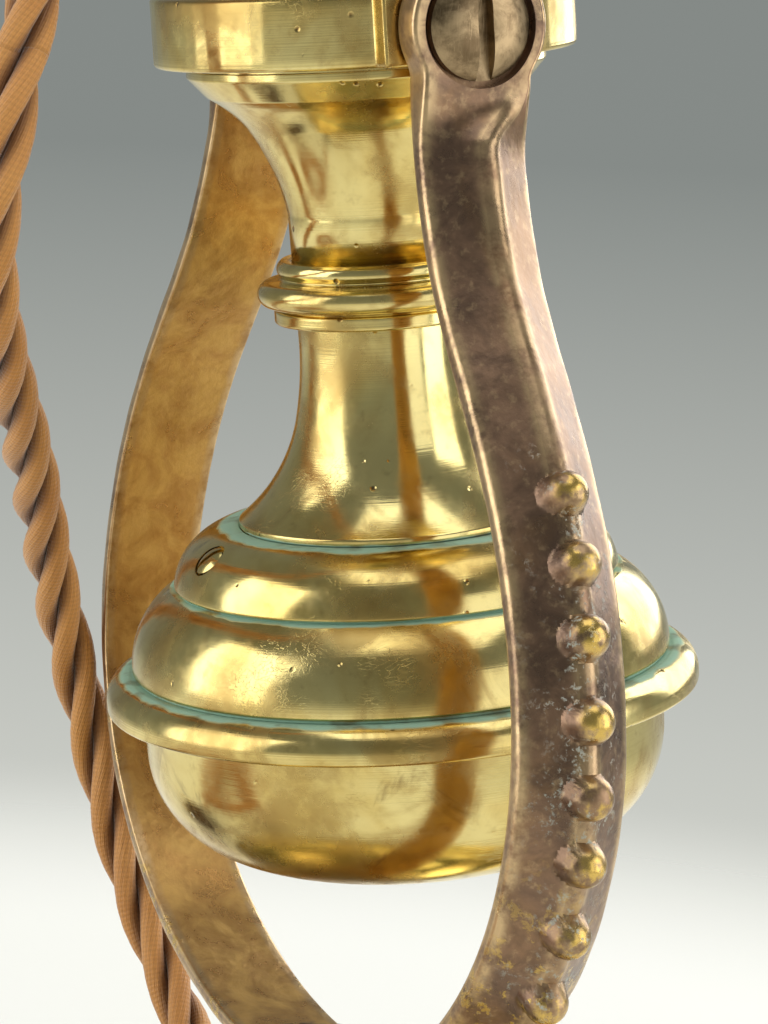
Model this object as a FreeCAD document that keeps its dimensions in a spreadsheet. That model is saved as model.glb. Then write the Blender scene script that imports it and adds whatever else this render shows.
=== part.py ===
import FreeCAD, Part
import math
import os
import re
import Sketcher

# Gimbal lamp: a round brass lamp body hung in a ring, the ring hung in a bronze fork on a turned base.
# Heights of the ring and the lamp are measured from the centre of the pivots, up positive.
# The fork's pivots lie along X and the ring's inner pins along Y. The base stands on Z = 0.

Vector = FreeCAD.Vector
doc = FreeCAD.newDocument("gimbal_lamp")
sheet = doc.addObject("Spreadsheet::Sheet", "Sizes")

SIZES = {
    # base
    "base_radius": 52.0,
    "base_rim_height": 12.0,
    "base_height": 28.0,
    "base_boss_radius": 13.0,
    "base_shoulder_radius": 42.0,
    "base_shoulder_height": 17.5,
    "base_cavity_radius": 36.0,
    "base_cavity_depth": 13.0,
    "weight_gap": 2.0,
    "weight_thickness": 6.0,
    "felt_thickness": 1.5,
    "fixing_circle_radius": 43.5,
    "fixing_hole_radius": 2.3,
    "fixing_head_radius": 4.6,
    "stem_height": 9.8,
    "stem_waist_radius": 6.8,
    "stem_radius": 9.0,
    "stud_radius": 4.0,
    "stud_nut_radius": 7.0,
    "stud_nut_height": 4.5,
    "stud_washer_radius": 9.0,
    "stud_washer_thickness": 1.0,
    "inlet_reach": 27.5,
    "inlet_side": 1.0,
    "inlet_level": 26.0,
    "inlet_slope": 40.6,
    "inlet_boss_radius": 6.5,
    # fork
    "yoke_half_width": 5.9,
    "yoke_edge_thickness": 1.6,
    "yoke_ridge_height": 4.0,
    "yoke_spread": 52.2,
    "yoke_spread_drop": 71.0,
    "yoke_depth": 111.8,
    "yoke_elbow": 42.5,
    "yoke_elbow_drop": 42.0,
    "yoke_flare": 30.9,
    "yoke_flare_drop": 26.0,
    "yoke_neck": 24.9,
    "yoke_neck_drop": 12.0,
    "eye_radius": 7.4,
    "eye_thickness": 3.6,
    "foot_boss_radius": 9.0,
    "foot_boss_depth": 6.4,
    "foot_boss_rise": 0.2,
    "foot_recess_radius": 7.1,
    "foot_recess_depth": 3.4,
    "foot_nut_height": 2.6,
    "bead_radius": 2.2,
    "bead_pitch": 7.3,
    "bead_first_drop": 43.0,
    "bead_count": 11.0,
    # pivots
    "screw_head_radius": 5.4,
    "screw_head_height": 1.1,
    "screw_dome_height": 1.1,
    "screw_recess_gap": 0.8,
    "screw_shoulder_radius": 3.2,
    "screw_thread_radius": 2.4,
    "screw_thread_length": 2.4,
    "screw_slot_width": 1.7,
    "screw_slot_depth": 1.2,
    "washer_radius": 6.0,
    "washer_thickness": 0.4,
    "running_gap": 0.05,
    "thread_gap": 0.02,
    "seat_gap": 0.02,
    "pin_radius": 2.0,
    "pin_inset": 0.15,
    "pin_length": 5.4,
    "bush_radius": 3.2,
    # ring
    "ring_radius": 22.3,
    "ring_wall": 2.4,
    "ring_height": 7.3,
    "ring_edge": 0.5,
    "pad_half_width": 8.6,
    "pad_rise": 0.6,
    # lamp body, from the ring down
    "drum_gap": 1.0,
    "drum_wall": 2.2,
    "drum_floor": 1.4,
    "drum_rise": 4.2,
    "flange_gap": 0.35,
    "flange_radius": 19.0,
    "flange_edge": 0.9,
    "flare_length": 20.8,
    "flare_throat_radius": 9.15,
    "shell_wall": 1.2,
    "collar_length": 6.7,
    "collar_radius": 13.05,
    "collar_bead_radius": 10.9,
    "collar_ring_radius": 11.35,
    "neck_radius": 8.95,
    "neck_length": 21.7,
    "bell_radius": 16.6,
    "bell_edge": 0.7,
    "shoulder_one_radius": 24.1,
    "shoulder_one_height": 6.6,
    "shoulder_two_radius": 29.3,
    "shoulder_two_height": 9.0,
    "groove_depth": 0.4,
    "groove_width": 0.7,
    "rim_radius": 32.3,
    "rim_height": 3.7,
    "rim_bore_radius": 25.6,
    "bowl_radius": 28.45,
    "bowl_depth": 18.5,
    "bowl_wall": 1.6,
    "ballast_radius": 22.5,
    "ballast_thickness": 9.0,
    "rod_radius": 4.95,
    "rod_bore_radius": 3.2,
    "rod_gap": 0.1,
    "bottom_nut_radius": 7.0,
    "cover_screw_height": 4.3,
    "cover_screw_head_radius": 1.8,
    "cover_screw_radius": 1.2,
    "cover_screw_length": 6.0,
    "strap_width": 15.0,
    "strap_thickness": 1.6,
    # above the ring
    "cover_rise": 6.4,
    "cover_seat_radius": 8.0,
    "lock_nut_radius": 8.0,
    "lock_nut_height": 3.0,
    "holder_radius": 13.6,
    "holder_base_height": 19.0,
    "holder_base_wall": 1.4,
    "holder_shell_height": 24.0,
    "holder_shell_radius": 13.1,
    "holder_shell_wall": 1.3,
    "insulator_height": 9.0,
    "plunger_radius": 1.7,
    "plunger_height": 3.4,
    "plunger_spacing": 9.4,
    "terminal_height": 5.0,
    "terminal_half_width": 1.8,
    "shade_ring_radius": 19.5,
    "shade_ring_height": 4.0,
    "cap_radius": 10.9,
    "cap_height": 25.0,
    "cap_pin_radius": 1.0,
    "cap_pin_reach": 12.9,
    "globe_radius": 22.5,
    "glass_wall": 0.8,
    "filament_radius": 7.0,
    "filament_wire_radius": 0.25,
    # flex and plug
    "flex_radius": 3.0,
    "flex_break": 0.05,
    "outlet_height": 7.6,
    "outlet_run": 11.5,
    "sleeve_radius": 4.2,
    "sleeve_length": 20.5,
    "exit_level": 6.3,
    "coil_inner_radius": 23.6,
    "coil_pitch": 6.7,
    "plug_radius": 17.0,
    "plug_height": 13.0,
    "plug_cover_height": 5.0,
    "plug_pin_radius": 1.75,
    "plug_earth_radius": 2.5,
    "plug_pin_length": 14.0,
    "plug_pin_spread": 6.6,
    "plug_neck_length": 14.5,
    "plug_neck_inset": 4.5,
    "plug_neck_clear": 6.0,
    "plug_flex_reach": 11.0,
    # lean of the ring and lamp in the fork, degrees
    "lamp_lean": 6.9,
}

for row, (alias, amount) in enumerate(SIZES.items(), start=1):
    sheet.set("A%d" % row, alias)
    sheet.set("B%d" % row, "%g" % amount)
    sheet.setAlias("B%d" % row, alias)
doc.recompute()

# Levels that follow from the sizes, as expressions.
PIVOT_LEVEL = "(base_height + stem_height + yoke_depth + foot_boss_depth)"
FLANGE_TOP = "(-ring_height / 2 - flange_gap)"
FLARE_FOOT = FLANGE_TOP[:-1] + " - flare_length)"
COLLAR_FOOT = FLARE_FOOT[:-1] + " - collar_length)"
BELL_FOOT = COLLAR_FOOT[:-1] + " - neck_length)"
GROOVE_TWO = BELL_FOOT[:-1] + " - shoulder_one_height)"
RIM_TOP = GROOVE_TWO[:-1] + " - shoulder_two_height)"
RIM_FOOT = RIM_TOP[:-1] + " - rim_height)"
BOWL_FOOT = RIM_FOOT[:-1] + " - bowl_depth)"
PAD_FACE = "(ring_radius + pad_rise)"
EYE_INNER = "(ring_radius + pad_rise + washer_thickness + running_gap)"
EYE_OUTER = "(ring_radius + pad_rise + washer_thickness + running_gap + eye_thickness)"
DRUM_RADIUS = "(ring_radius - ring_wall - drum_gap)"
COVER_SEAT = "(drum_rise + cover_rise)"
HOLDER_FOOT = COVER_SEAT[:-1] + " + lock_nut_height)"
HOLDER_TOP = HOLDER_FOOT[:-1] + " + holder_base_height)"
SHELL_TOP = HOLDER_TOP[:-1] + " + holder_shell_height)"
INSULATOR_TOP = HOLDER_TOP[:-1] + " + insulator_height)"
CAP_FOOT = INSULATOR_TOP[:-1] + " + plunger_height)"
CAP_TOP = CAP_FOOT[:-1] + " + cap_height)"
GLOBE_LEVEL = CAP_TOP[:-1] + " + globe_radius)"
ROD_HOLE = "(rod_radius + rod_gap)"
CAVITY_ROOF = "(felt_thickness + base_cavity_depth)"


def bound(text):
    return re.sub(r"\b[a-z_]{3,}\b(?!\()", lambda word: "Sizes." + word.group(0), str(text))


def size(text):
    return float(sheet.evalExpression(bound(text)))


nodes = {}


# A finished piece keeps its node's name and the frame that carries it.
# The gimbal frame is the leaning ring and lamp, the fork frame is upright; both stand at the pivots.
def place(item, label, frame="base"):
    item.Label = label
    if frame == "gimbal":
        lean = FreeCAD.Rotation(Vector(1, 0, 0), size("lamp_lean"))
        item.Placement = FreeCAD.Placement(Vector(0, 0, size(PIVOT_LEVEL)), lean)
        item.setExpression("Placement.Base.z", bound(PIVOT_LEVEL))
        item.setExpression("Placement.Rotation.Angle", bound("lamp_lean"))
    elif frame == "fork":
        item.Placement = FreeCAD.Placement(Vector(0, 0, size(PIVOT_LEVEL)), FreeCAD.Rotation())
        item.setExpression("Placement.Base.z", bound(PIVOT_LEVEL))
    nodes[label] = item
    return item


def origin_plane(body, role):
    return [item for item in body.Origin.OriginFeatures if item.Role == role][0]


def pin_point(sketch, geometry, end, across, up, tag):
    for kind, text, letter in (("DistanceX", across, "a"), ("DistanceY", up, "u")):
        index = sketch.addConstraint(Sketcher.Constraint(kind, -1, 1, geometry, end, size(text)))
        sketch.renameConstraint(index, letter + tag)
        sketch.setExpression("Constraints." + letter + tag, bound(text))


# A body turned about its vertical axis from an outline that runs anticlockwise.
# A corner is (radius, height) or (radius, height, bulge); the bulge is the rise of the arc to the
# next corner as a share of its chord, outwards where it is positive. A quarter round is 0.207.
def turned(name, outline):
    body = doc.addObject("PartDesign::Body", name)
    sketch = body.newObject("Sketcher::SketchObject", name + "_outline")
    sketch.AttachmentSupport = (origin_plane(body, "XZ_Plane"), [""])
    sketch.MapMode = "FlatFace"
    corners = [(str(corner[0]), str(corner[1])) for corner in outline]
    bulges = [corner[2] if len(corner) > 2 else 0 for corner in outline]
    points = [Vector(size(across), size(up), 0) for across, up in corners]
    count = len(corners)
    middles = []
    for index in range(count):
        after = (index + 1) % count
        bulge = bulges[index]
        if bulge:
            (ax, ay), (bx, by) = corners[index], corners[after]
            mid_x = "((%s) + (%s)) / 2 + (%g) * ((%s) - (%s))" % (ax, bx, bulge, by, ay)
            mid_y = "((%s) + (%s)) / 2 - (%g) * ((%s) - (%s))" % (ay, by, bulge, bx, ax)
            middle = Vector(size(mid_x), size(mid_y), 0)
            sketch.addGeometry(Part.Arc(points[index], middle, points[after]))
            middles.append((index, middle, mid_x, mid_y))
        else:
            sketch.addGeometry(Part.LineSegment(points[index], points[after]))
    ends = []
    for index in range(count):
        runs_on = (sketch.getPoint(index, 2) - points[(index + 1) % count]).Length < 1e-6
        ends.append((1, 2) if runs_on else (2, 1))
    for index in range(count):
        after = (index + 1) % count
        sketch.addConstraint(Sketcher.Constraint("Coincident", index, ends[index][1], after, ends[after][0]))
        pin_point(sketch, index, ends[index][0], corners[index][0], corners[index][1], "corner%d" % index)
    for index, middle, mid_x, mid_y in middles:
        dot = sketch.addGeometry(Part.Point(middle), True)
        sketch.addConstraint(Sketcher.Constraint("PointOnObject", dot, 1, index))
        pin_point(sketch, dot, 1, mid_x, mid_y, "middle%d" % index)
    doc.recompute()
    spin = body.newObject("PartDesign::Revolution", name + "_turning")
    spin.Profile = sketch
    spin.ReferenceAxis = (sketch, ["V_Axis"])
    spin.Angle = 360
    doc.recompute()
    return body


TURNS = {
    "x": FreeCAD.Rotation(Vector(0, 1, 0), 90),
    "-x": FreeCAD.Rotation(Vector(0, 1, 0), -90),
    "y": FreeCAD.Rotation(Vector(1, 0, 0), -90),
    "-y": FreeCAD.Rotation(Vector(1, 0, 0), 90),
    "z": FreeCAD.Rotation(),
    "-z": FreeCAD.Rotation(Vector(1, 0, 0), 180),
}


def stand(item, base, turn="z"):
    rotation = TURNS[turn] if isinstance(turn, str) else turn
    item.Placement = FreeCAD.Placement(Vector(*[size(part) for part in base]), rotation)
    for letter, text in zip("xyz", base):
        item.setExpression("Placement.Base." + letter, bound(text))
    return item


def rod(name, radius, length, base=(0, 0, 0), turn="z", sector=360):
    item = doc.addObject("Part::Cylinder", name)
    item.Angle = sector
    item.setExpression("Radius", bound(radius))
    item.setExpression("Height", bound(length))
    return stand(item, base, turn)


def block(name, along, across, up, base):
    item = doc.addObject("Part::Box", name)
    item.setExpression("Length", bound(along))
    item.setExpression("Width", bound(across))
    item.setExpression("Height", bound(up))
    return stand(item, base)


def hexagon(name, radius, height, base):
    item = doc.addObject("Part::Prism", name)
    item.Polygon = 6
    item.setExpression("Circumradius", bound(radius))
    item.setExpression("Height", bound(height))
    return stand(item, base)


def join(name, items):
    item = doc.addObject("Part::MultiFuse", name)
    item.Shapes = items
    return item


def cut(name, base, *tools):
    item = doc.addObject("Part::Cut", name)
    item.Base = base
    item.Tool = tools[0] if len(tools) == 1 else join(name + "_tools", list(tools))
    return item


def common(name, *items):
    item = doc.addObject("Part::MultiCommon", name)
    item.Shapes = list(items)
    return item


# Free solids: one alone, or several alike that share a node.
def solids(name, *shapes):
    item = doc.addObject("Part::Feature", name)
    item.Shape = Part.makeCompound(list(shapes))
    return item


def copies(name, source, angles):
    doc.recompute()
    shapes = []
    for angle in angles:
        copy = source.Shape.copy()
        copy.rotate(Vector(0, 0, 0), Vector(0, 0, 1), angle)
        shapes.append(copy)
    return solids(name, *shapes)


def round_spot(radius, angle, level):
    turn = math.radians(angle)
    return ("%s * %.6f" % (radius, math.cos(turn)), "%s * %.6f" % (radius, math.sin(turn)), level)


FIXING_ANGLES = (90, 210, 330)


# Base: felt, turned shell with fixing holes, flex inlet and outlet, weight, stem and its stud.
def base_parts():
    blank = turned("base_blank", [
        ("stud_radius + rod_gap", CAVITY_ROOF),
        ("base_cavity_radius", CAVITY_ROOF),
        ("base_cavity_radius", "felt_thickness"),
        ("base_radius - 0.8", "felt_thickness", 0.2),
        ("base_radius", "felt_thickness + 0.8"),
        ("base_radius", "base_rim_height - 2.5", 0.2),
        ("base_radius - 2.5", "base_rim_height"),
        ("base_radius - 3.3", "base_rim_height"),
        ("base_radius - 3.3", "base_rim_height + 0.7", 0.2),
        ("base_shoulder_radius", "base_shoulder_height"),
        ("base_shoulder_radius - 1.2", "base_shoulder_height", -0.14),
        ("base_boss_radius + 0.8", "base_height - 2"),
        ("base_boss_radius", "base_height - 2"),
        ("base_boss_radius", "base_height - 0.8", 0.2),
        ("base_boss_radius - 0.8", "base_height"),
        ("stud_radius + rod_gap", "base_height"),
    ])
    inward = FreeCAD.Rotation(Vector(0, 1, 0), 90 + size("inlet_slope"))
    mouth = ("-inlet_reach", "inlet_side", "inlet_level")
    boss = rod("inlet_boss", "inlet_boss_radius", 11, mouth, inward)
    boss.setExpression("Placement.Rotation.Angle", bound("90 + inlet_slope"))
    inlet = rod("inlet_hole", "sleeve_radius + 0.2 + seat_gap", 30, mouth, inward)
    inlet.setExpression("Placement.Rotation.Angle", bound("90 + inlet_slope"))
    cavity = rod("base_cavity", "base_cavity_radius", CAVITY_ROOF, (0, 0, 0))
    outlet = rod("outlet_hole", "sleeve_radius + seat_gap", 40, (0, "-base_cavity_radius + 6", "exit_level"), "-y")
    holes = []
    for angle in FIXING_ANGLES:
        holes.append(rod("fixing_hole", "fixing_hole_radius", "base_height", round_spot("fixing_circle_radius", angle, -1)))
        holes.append(rod("fixing_recess", "fixing_head_radius", "base_height",
                         round_spot("fixing_circle_radius", angle, "base_rim_height - 2")))
    place(cut("base_body", join("base_and_boss", [blank, boss]), cavity, inlet, outlet, *holes), "base_shell")

    felt = rod("felt_disc", "base_radius - 0.8", "felt_thickness")
    felt_holes = [rod("felt_hole", "fixing_hole_radius", 5, round_spot("fixing_circle_radius", angle, -1))
                  for angle in FIXING_ANGLES]
    place(cut("felt_cut", felt, *felt_holes), "base_felt")

    weight_foot = CAVITY_ROOF[:-1] + " - weight_thickness)"
    weight = rod("weight_disc", "base_cavity_radius - weight_gap", "weight_thickness", (0, 0, weight_foot))
    weight_bore = rod("weight_bore", "stud_radius + rod_gap", 40)
    weight_pass = rod("weight_pass", "flex_radius + 2.5", 40, ("-stud_washer_radius - 7", "inlet_side", 0))
    place(cut("weight_cut", weight, weight_bore, weight_pass), "base_weight")

    washer_foot = weight_foot[:-1] + " - stud_washer_thickness)"
    washer = rod("stud_washer_disc", "stud_washer_radius", "stud_washer_thickness", (0, 0, washer_foot))
    place(cut("stud_washer_cut", washer, rod("stud_washer_bore", "stud_radius + rod_gap", 40)), "stud_washer")
    nut_foot = washer_foot[:-1] + " - stud_nut_height)"
    nut = hexagon("stud_nut_hexagon", "stud_nut_radius", "stud_nut_height", (0, 0, nut_foot))
    place(cut("stud_nut_cut", nut, rod("stud_nut_bore", "stud_radius + thread_gap", 40)), "stud_nut")

    waist = "base_height + stem_height / 2"
    stem = turned("stem_turned", [
        ("stud_radius + rod_gap", "base_height"),
        ("stem_radius - 0.4", "base_height"),
        ("stem_radius", "base_height + 0.4"),
        ("stem_radius", "base_height + 1.6"),
        ("stem_radius - 0.8", "base_height + 2", -0.2),
        ("stem_waist_radius", waist, -0.1),
        ("stem_radius - 1.4", "base_height + stem_height - 2.2", 0.2),
        ("stem_radius - 0.6", "base_height + stem_height - 1.4"),
        ("stem_radius - 0.6", "base_height + stem_height"),
        ("stud_radius + rod_gap", "base_height + stem_height"),
    ])
    place(stem, "stem")

    seat = "-yoke_depth + foot_boss_rise - foot_recess_depth"
    stud_top = PIVOT_LEVEL[:-1] + seat + " + foot_nut_height + 0.3)"
    stud = rod("stud_rod", "stud_radius", stud_top + " - " + nut_foot + " + 0.6", (0, 0, nut_foot + " - 0.6"))
    place(stud, "stem_stud")
    foot_nut = hexagon("foot_nut_hexagon", "foot_recess_radius - 0.5", "foot_nut_height", (0, 0, seat))
    foot_nut_bore = rod("foot_nut_bore", "stud_radius + thread_gap", 40, (0, 0, seat + " - 10"))
    place(cut("foot_nut_cut", foot_nut, foot_nut_bore), "foot_nut", "fork")

    bush = turned("inlet_bush_turned", [
        ("flex_radius + 0.1", -7),
        ("sleeve_radius + 0.2", -7),
        ("sleeve_radius + 0.2", 0),
        ("inlet_boss_radius - 0.9", 0),
        ("inlet_boss_radius - 0.9", 1.2, 0.15),
        ("sleeve_radius + 0.3", 1.8),
        ("flex_radius + 0.6", 8),
        ("flex_radius + 0.1", 8),
    ])
    outward = FreeCAD.Rotation(Vector(0, 1, 0), -(90 - size("inlet_slope")))
    bush.Placement = FreeCAD.Placement(Vector(*[size(part) for part in mouth]), outward)
    for letter, text in zip("xyz", mouth):
        bush.setExpression("Placement.Base." + letter, bound(text))
    place(bush, "inlet_bush")

    sleeve = turned("exit_sleeve_turned", [
        ("flex_radius + 0.1", -10),
        ("sleeve_radius", -10),
        ("sleeve_radius", 0.35),
        ("sleeve_radius + 1.1", 0.35),
        ("sleeve_radius + 1.1", 1.6, 0.15),
        ("sleeve_radius + 0.1", 2.4),
        ("flex_radius + 0.5", "sleeve_length"),
        ("flex_radius + 0.1", "sleeve_length"),
    ])
    stand(sleeve, (0, "-base_radius", "exit_level"), "-y")
    place(sleeve, "exit_sleeve")


def unit(vector):
    return vector * (1.0 / vector.Length)


def corner_arc(before, corner, after, reach):
    start = corner + unit(before - corner) * reach
    end = corner + unit(after - corner) * reach
    half = unit(corner - before).getAngle(unit(after - corner)) / 2
    radius = reach / math.tan(half)
    middle = corner + unit((start + end) * 0.5 - corner) * (radius / math.cos(half) - radius)
    return start, middle, end, radius


YOKE_SPANS = 10


# Fork: a ridged bow swept along one smooth line, with eyes, a foot boss and beads along the ridge.
def yoke_line():
    drop = size("yoke_spread_drop")
    depth = size("yoke_depth") - drop
    points = [(size(EYE_INNER), -2.0)]
    for name in ("neck", "flare", "elbow"):
        points.append((size("yoke_" + name), -size("yoke_%s_drop" % name)))
    points.append((size("yoke_spread") - 2.3, -drop + 14.0))
    for angle in (0, 21.5, 43, 66, 90):
        turn = math.radians(angle)
        points.append((size("yoke_spread") * math.cos(turn), -drop - depth * math.sin(turn)))
    mirrored = [(-across, up) for across, up in reversed(points[:-1])]
    return [Vector(across, 0, up) for across, up in points + mirrored]


def yoke_part():
    line = yoke_line()
    curve = Part.BSplineCurve()
    curve.interpolate(Points=line, InitialTangent=Vector(0, 0, -1), FinalTangent=Vector(0, 0, 1))
    edge = curve.toShape()
    stations = [edge.getParameterByLength(edge.Length * step / YOKE_SPANS) for step in range(YOKE_SPANS + 1)]
    arcs = []
    for first, last in zip(stations, stations[1:]):
        begin, finish = edge.valueAt(first), edge.valueAt(last)
        lead_in, lead_out = unit(edge.tangentAt(first)), unit(edge.tangentAt(last))
        span, bend = finish - begin, lead_in + lead_out
        spread = 2 * (1 - lead_in.dot(lead_out))
        along = span.dot(bend)
        reach = (math.sqrt(along * along + spread * span.dot(span)) - along) / spread
        knee_one, knee_two = begin + lead_in * reach, finish - lead_out * reach
        joint = (knee_one + knee_two) * 0.5
        arcs.append(Part.Arc(begin, corner_arc(begin, knee_one, joint, reach)[1], joint).toShape())
        arcs.append(Part.Arc(joint, corner_arc(joint, knee_two, finish, reach)[1], finish).toShape())
    half, thin = size("yoke_half_width"), size("yoke_edge_thickness")
    crest = thin + size("yoke_ridge_height")
    corners = [(0, -half), (thin, -half), (crest, 0), (thin, half), (0, half)]
    spans = []
    for arc in arcs:
        begin, finish = arc.valueAt(arc.FirstParameter), arc.valueAt(arc.LastParameter)
        outward = unit(arc.tangentAt(arc.FirstParameter)).cross(Vector(0, 1, 0))
        section = Part.makePolygon([begin + outward * out + Vector(0, side, 0) for out, side in corners + corners[:1]])
        centre = arc.Curve.Center
        axis = unit((begin - centre).cross(finish - centre))
        turn = math.degrees((begin - centre).getAngle(finish - centre))
        spans.append(Part.Face(section).revolve(centre, axis, turn))
    bow = solids("yoke_bow", spans[0].multiFuse(spans[1:]).removeSplitter())

    beads = []
    steps = 600
    first, last = edge.ParameterRange
    previous = None
    travelled = None
    wanted = 0.0
    for step in range(steps + 1):
        spot = first + (last - first) * step / steps / 2
        point = edge.valueAt(spot)
        outward = Vector(0, 1, 0).cross(edge.tangentAt(spot))
        if outward.x < 0:
            outward = outward * -1
        ridge = point + outward * (crest - 0.3)
        if previous is not None and travelled is not None:
            travelled += (ridge - previous).Length
        if travelled is None and ridge.z <= -size("bead_first_drop"):
            travelled = 0.0
        if travelled is not None and travelled >= wanted and len(beads) < size("bead_count"):
            beads.append(ridge)
            wanted += size("bead_pitch")
        previous = ridge
    balls = []
    for ridge in beads:
        for side in (1, -1):
            spot = Vector(side * ridge.x, 0, ridge.z)
            balls.append(Part.makeSphere(size("bead_radius"), spot, Vector(side, 0, -1)))
    bead_row = solids("yoke_bead_row", *balls)

    pieces = [bow, bead_row]
    tools = []
    for side, turn in ((1, "x"), (-1, "-x")):
        pieces.append(rod("eye", "eye_radius", "eye_thickness", ("%d * %s" % (side, EYE_INNER), 0, 0), turn))
        outer = "%d * %s" % (side, EYE_OUTER)
        tools.append(rod("eye_flat", "eye_radius + 1.2", 12, (outer, 0, 0), turn))
        recess = "%d * (%s - 1.3)" % (side, EYE_OUTER)
        tools.append(rod("eye_recess", "screw_head_radius + 0.7", 8, (recess, 0, 0), turn))
        tools.append(rod("eye_bore", "screw_shoulder_radius + running_gap", 30, ("%d * 10" % side, 0, 0), turn))
    boss_foot = "-yoke_depth - foot_boss_depth"
    pieces.append(rod("foot_boss", "foot_boss_radius", "foot_boss_depth + foot_boss_rise", (0, 0, boss_foot)))
    tools.append(rod("foot_bore", "stud_radius + rod_gap", 40, (0, 0, boss_foot + " - 5")))
    tools.append(rod("foot_recess", "foot_recess_radius", 30, (0, 0, "-yoke_depth + foot_boss_rise - foot_recess_depth")))
    place(cut("yoke_cut", join("yoke_body", pieces), *tools), "yoke", "fork")


# Ring: bored band with two flat pads, pivot screws, washers and the inner pins.
def ring_parts():
    half = "ring_height / 2"
    band = turned("ring_band", [
        ("ring_radius - ring_wall", "-" + half),
        ("ring_radius - ring_edge", "-" + half, 0.2),
        ("ring_radius", "-%s + ring_edge" % half),
        ("ring_radius", half + " - ring_edge", 0.2),
        ("ring_radius - ring_edge", half),
        ("ring_radius - ring_wall", half),
    ])
    pieces = [band]
    for side in (1, -1):
        low = "ring_radius * 0.5" if side > 0 else "-" + PAD_FACE
        pieces.append(block("ring_pad", PAD_FACE + " - ring_radius * 0.5", "2 * pad_half_width", "ring_height",
                            (low, "-pad_half_width", "-" + half)))
    bore = rod("ring_bore", "ring_radius - ring_wall", 30, (0, 0, -15))
    threads = rod("ring_threads", "screw_thread_radius + thread_gap", 80, (-40, 0, 0), "x")
    pin_holes = rod("ring_pin_holes", "pin_radius + seat_gap", 80, (0, -40, 0), "y")
    place(cut("ring_cut", join("ring_body", pieces), bore, threads, pin_holes), "gimbal_ring", "gimbal")

    under = "washer_thickness + running_gap + eye_thickness - 1.3 + running_gap"
    head_top = under + " + screw_head_height + screw_dome_height"
    screw = turned("pivot_screw_turned", [
        (0, "-screw_thread_length - 0.4"),
        ("screw_thread_radius - 0.3", "-screw_thread_length - 0.4"),
        ("screw_thread_radius", "-screw_thread_length - 0.1"),
        ("screw_thread_radius", 0),
        ("screw_shoulder_radius", 0),
        ("screw_shoulder_radius", under),
        ("screw_head_radius - 0.2", under),
        ("screw_head_radius", under + " + 0.2"),
        ("screw_head_radius", under + " + screw_head_height", 0.12),
        (0, head_top),
    ])
    slot = block("pivot_screw_slot", "3 * screw_head_radius", "screw_slot_width", 10,
                 ("-1.5 * screw_head_radius", "-screw_slot_width / 2", head_top + " - screw_slot_depth"))
    screw_cut = cut("pivot_screw", screw, slot)
    doc.recompute()
    shapes = []
    for side in (1, -1):
        shape = screw_cut.Shape.copy()
        shape.rotate(Vector(0, 0, 0), Vector(0, 1, 0), 90 * side)
        shape.translate(Vector(side * size(PAD_FACE), 0, 0))
        shapes.append(shape)
    place(solids("pivot_screw_pair", *shapes), "pivot_screws", "gimbal")

    washer = cut("pivot_washer", rod("washer_disc", "washer_radius", "washer_thickness", (PAD_FACE, 0, 0), "x"),
                 rod("washer_bore", "screw_shoulder_radius + rod_gap", 40, (0, 0, 0), "x"))
    place(copies("pivot_washer_pair", washer, (0, 180)), "pivot_washers", "gimbal")
    pin = rod("inner_pin", "pin_radius", "pin_length", (0, "ring_radius - pin_inset - pin_length", 0), "y")
    place(copies("inner_pin_pair", pin, (0, 180)), "inner_pins", "gimbal")


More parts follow.
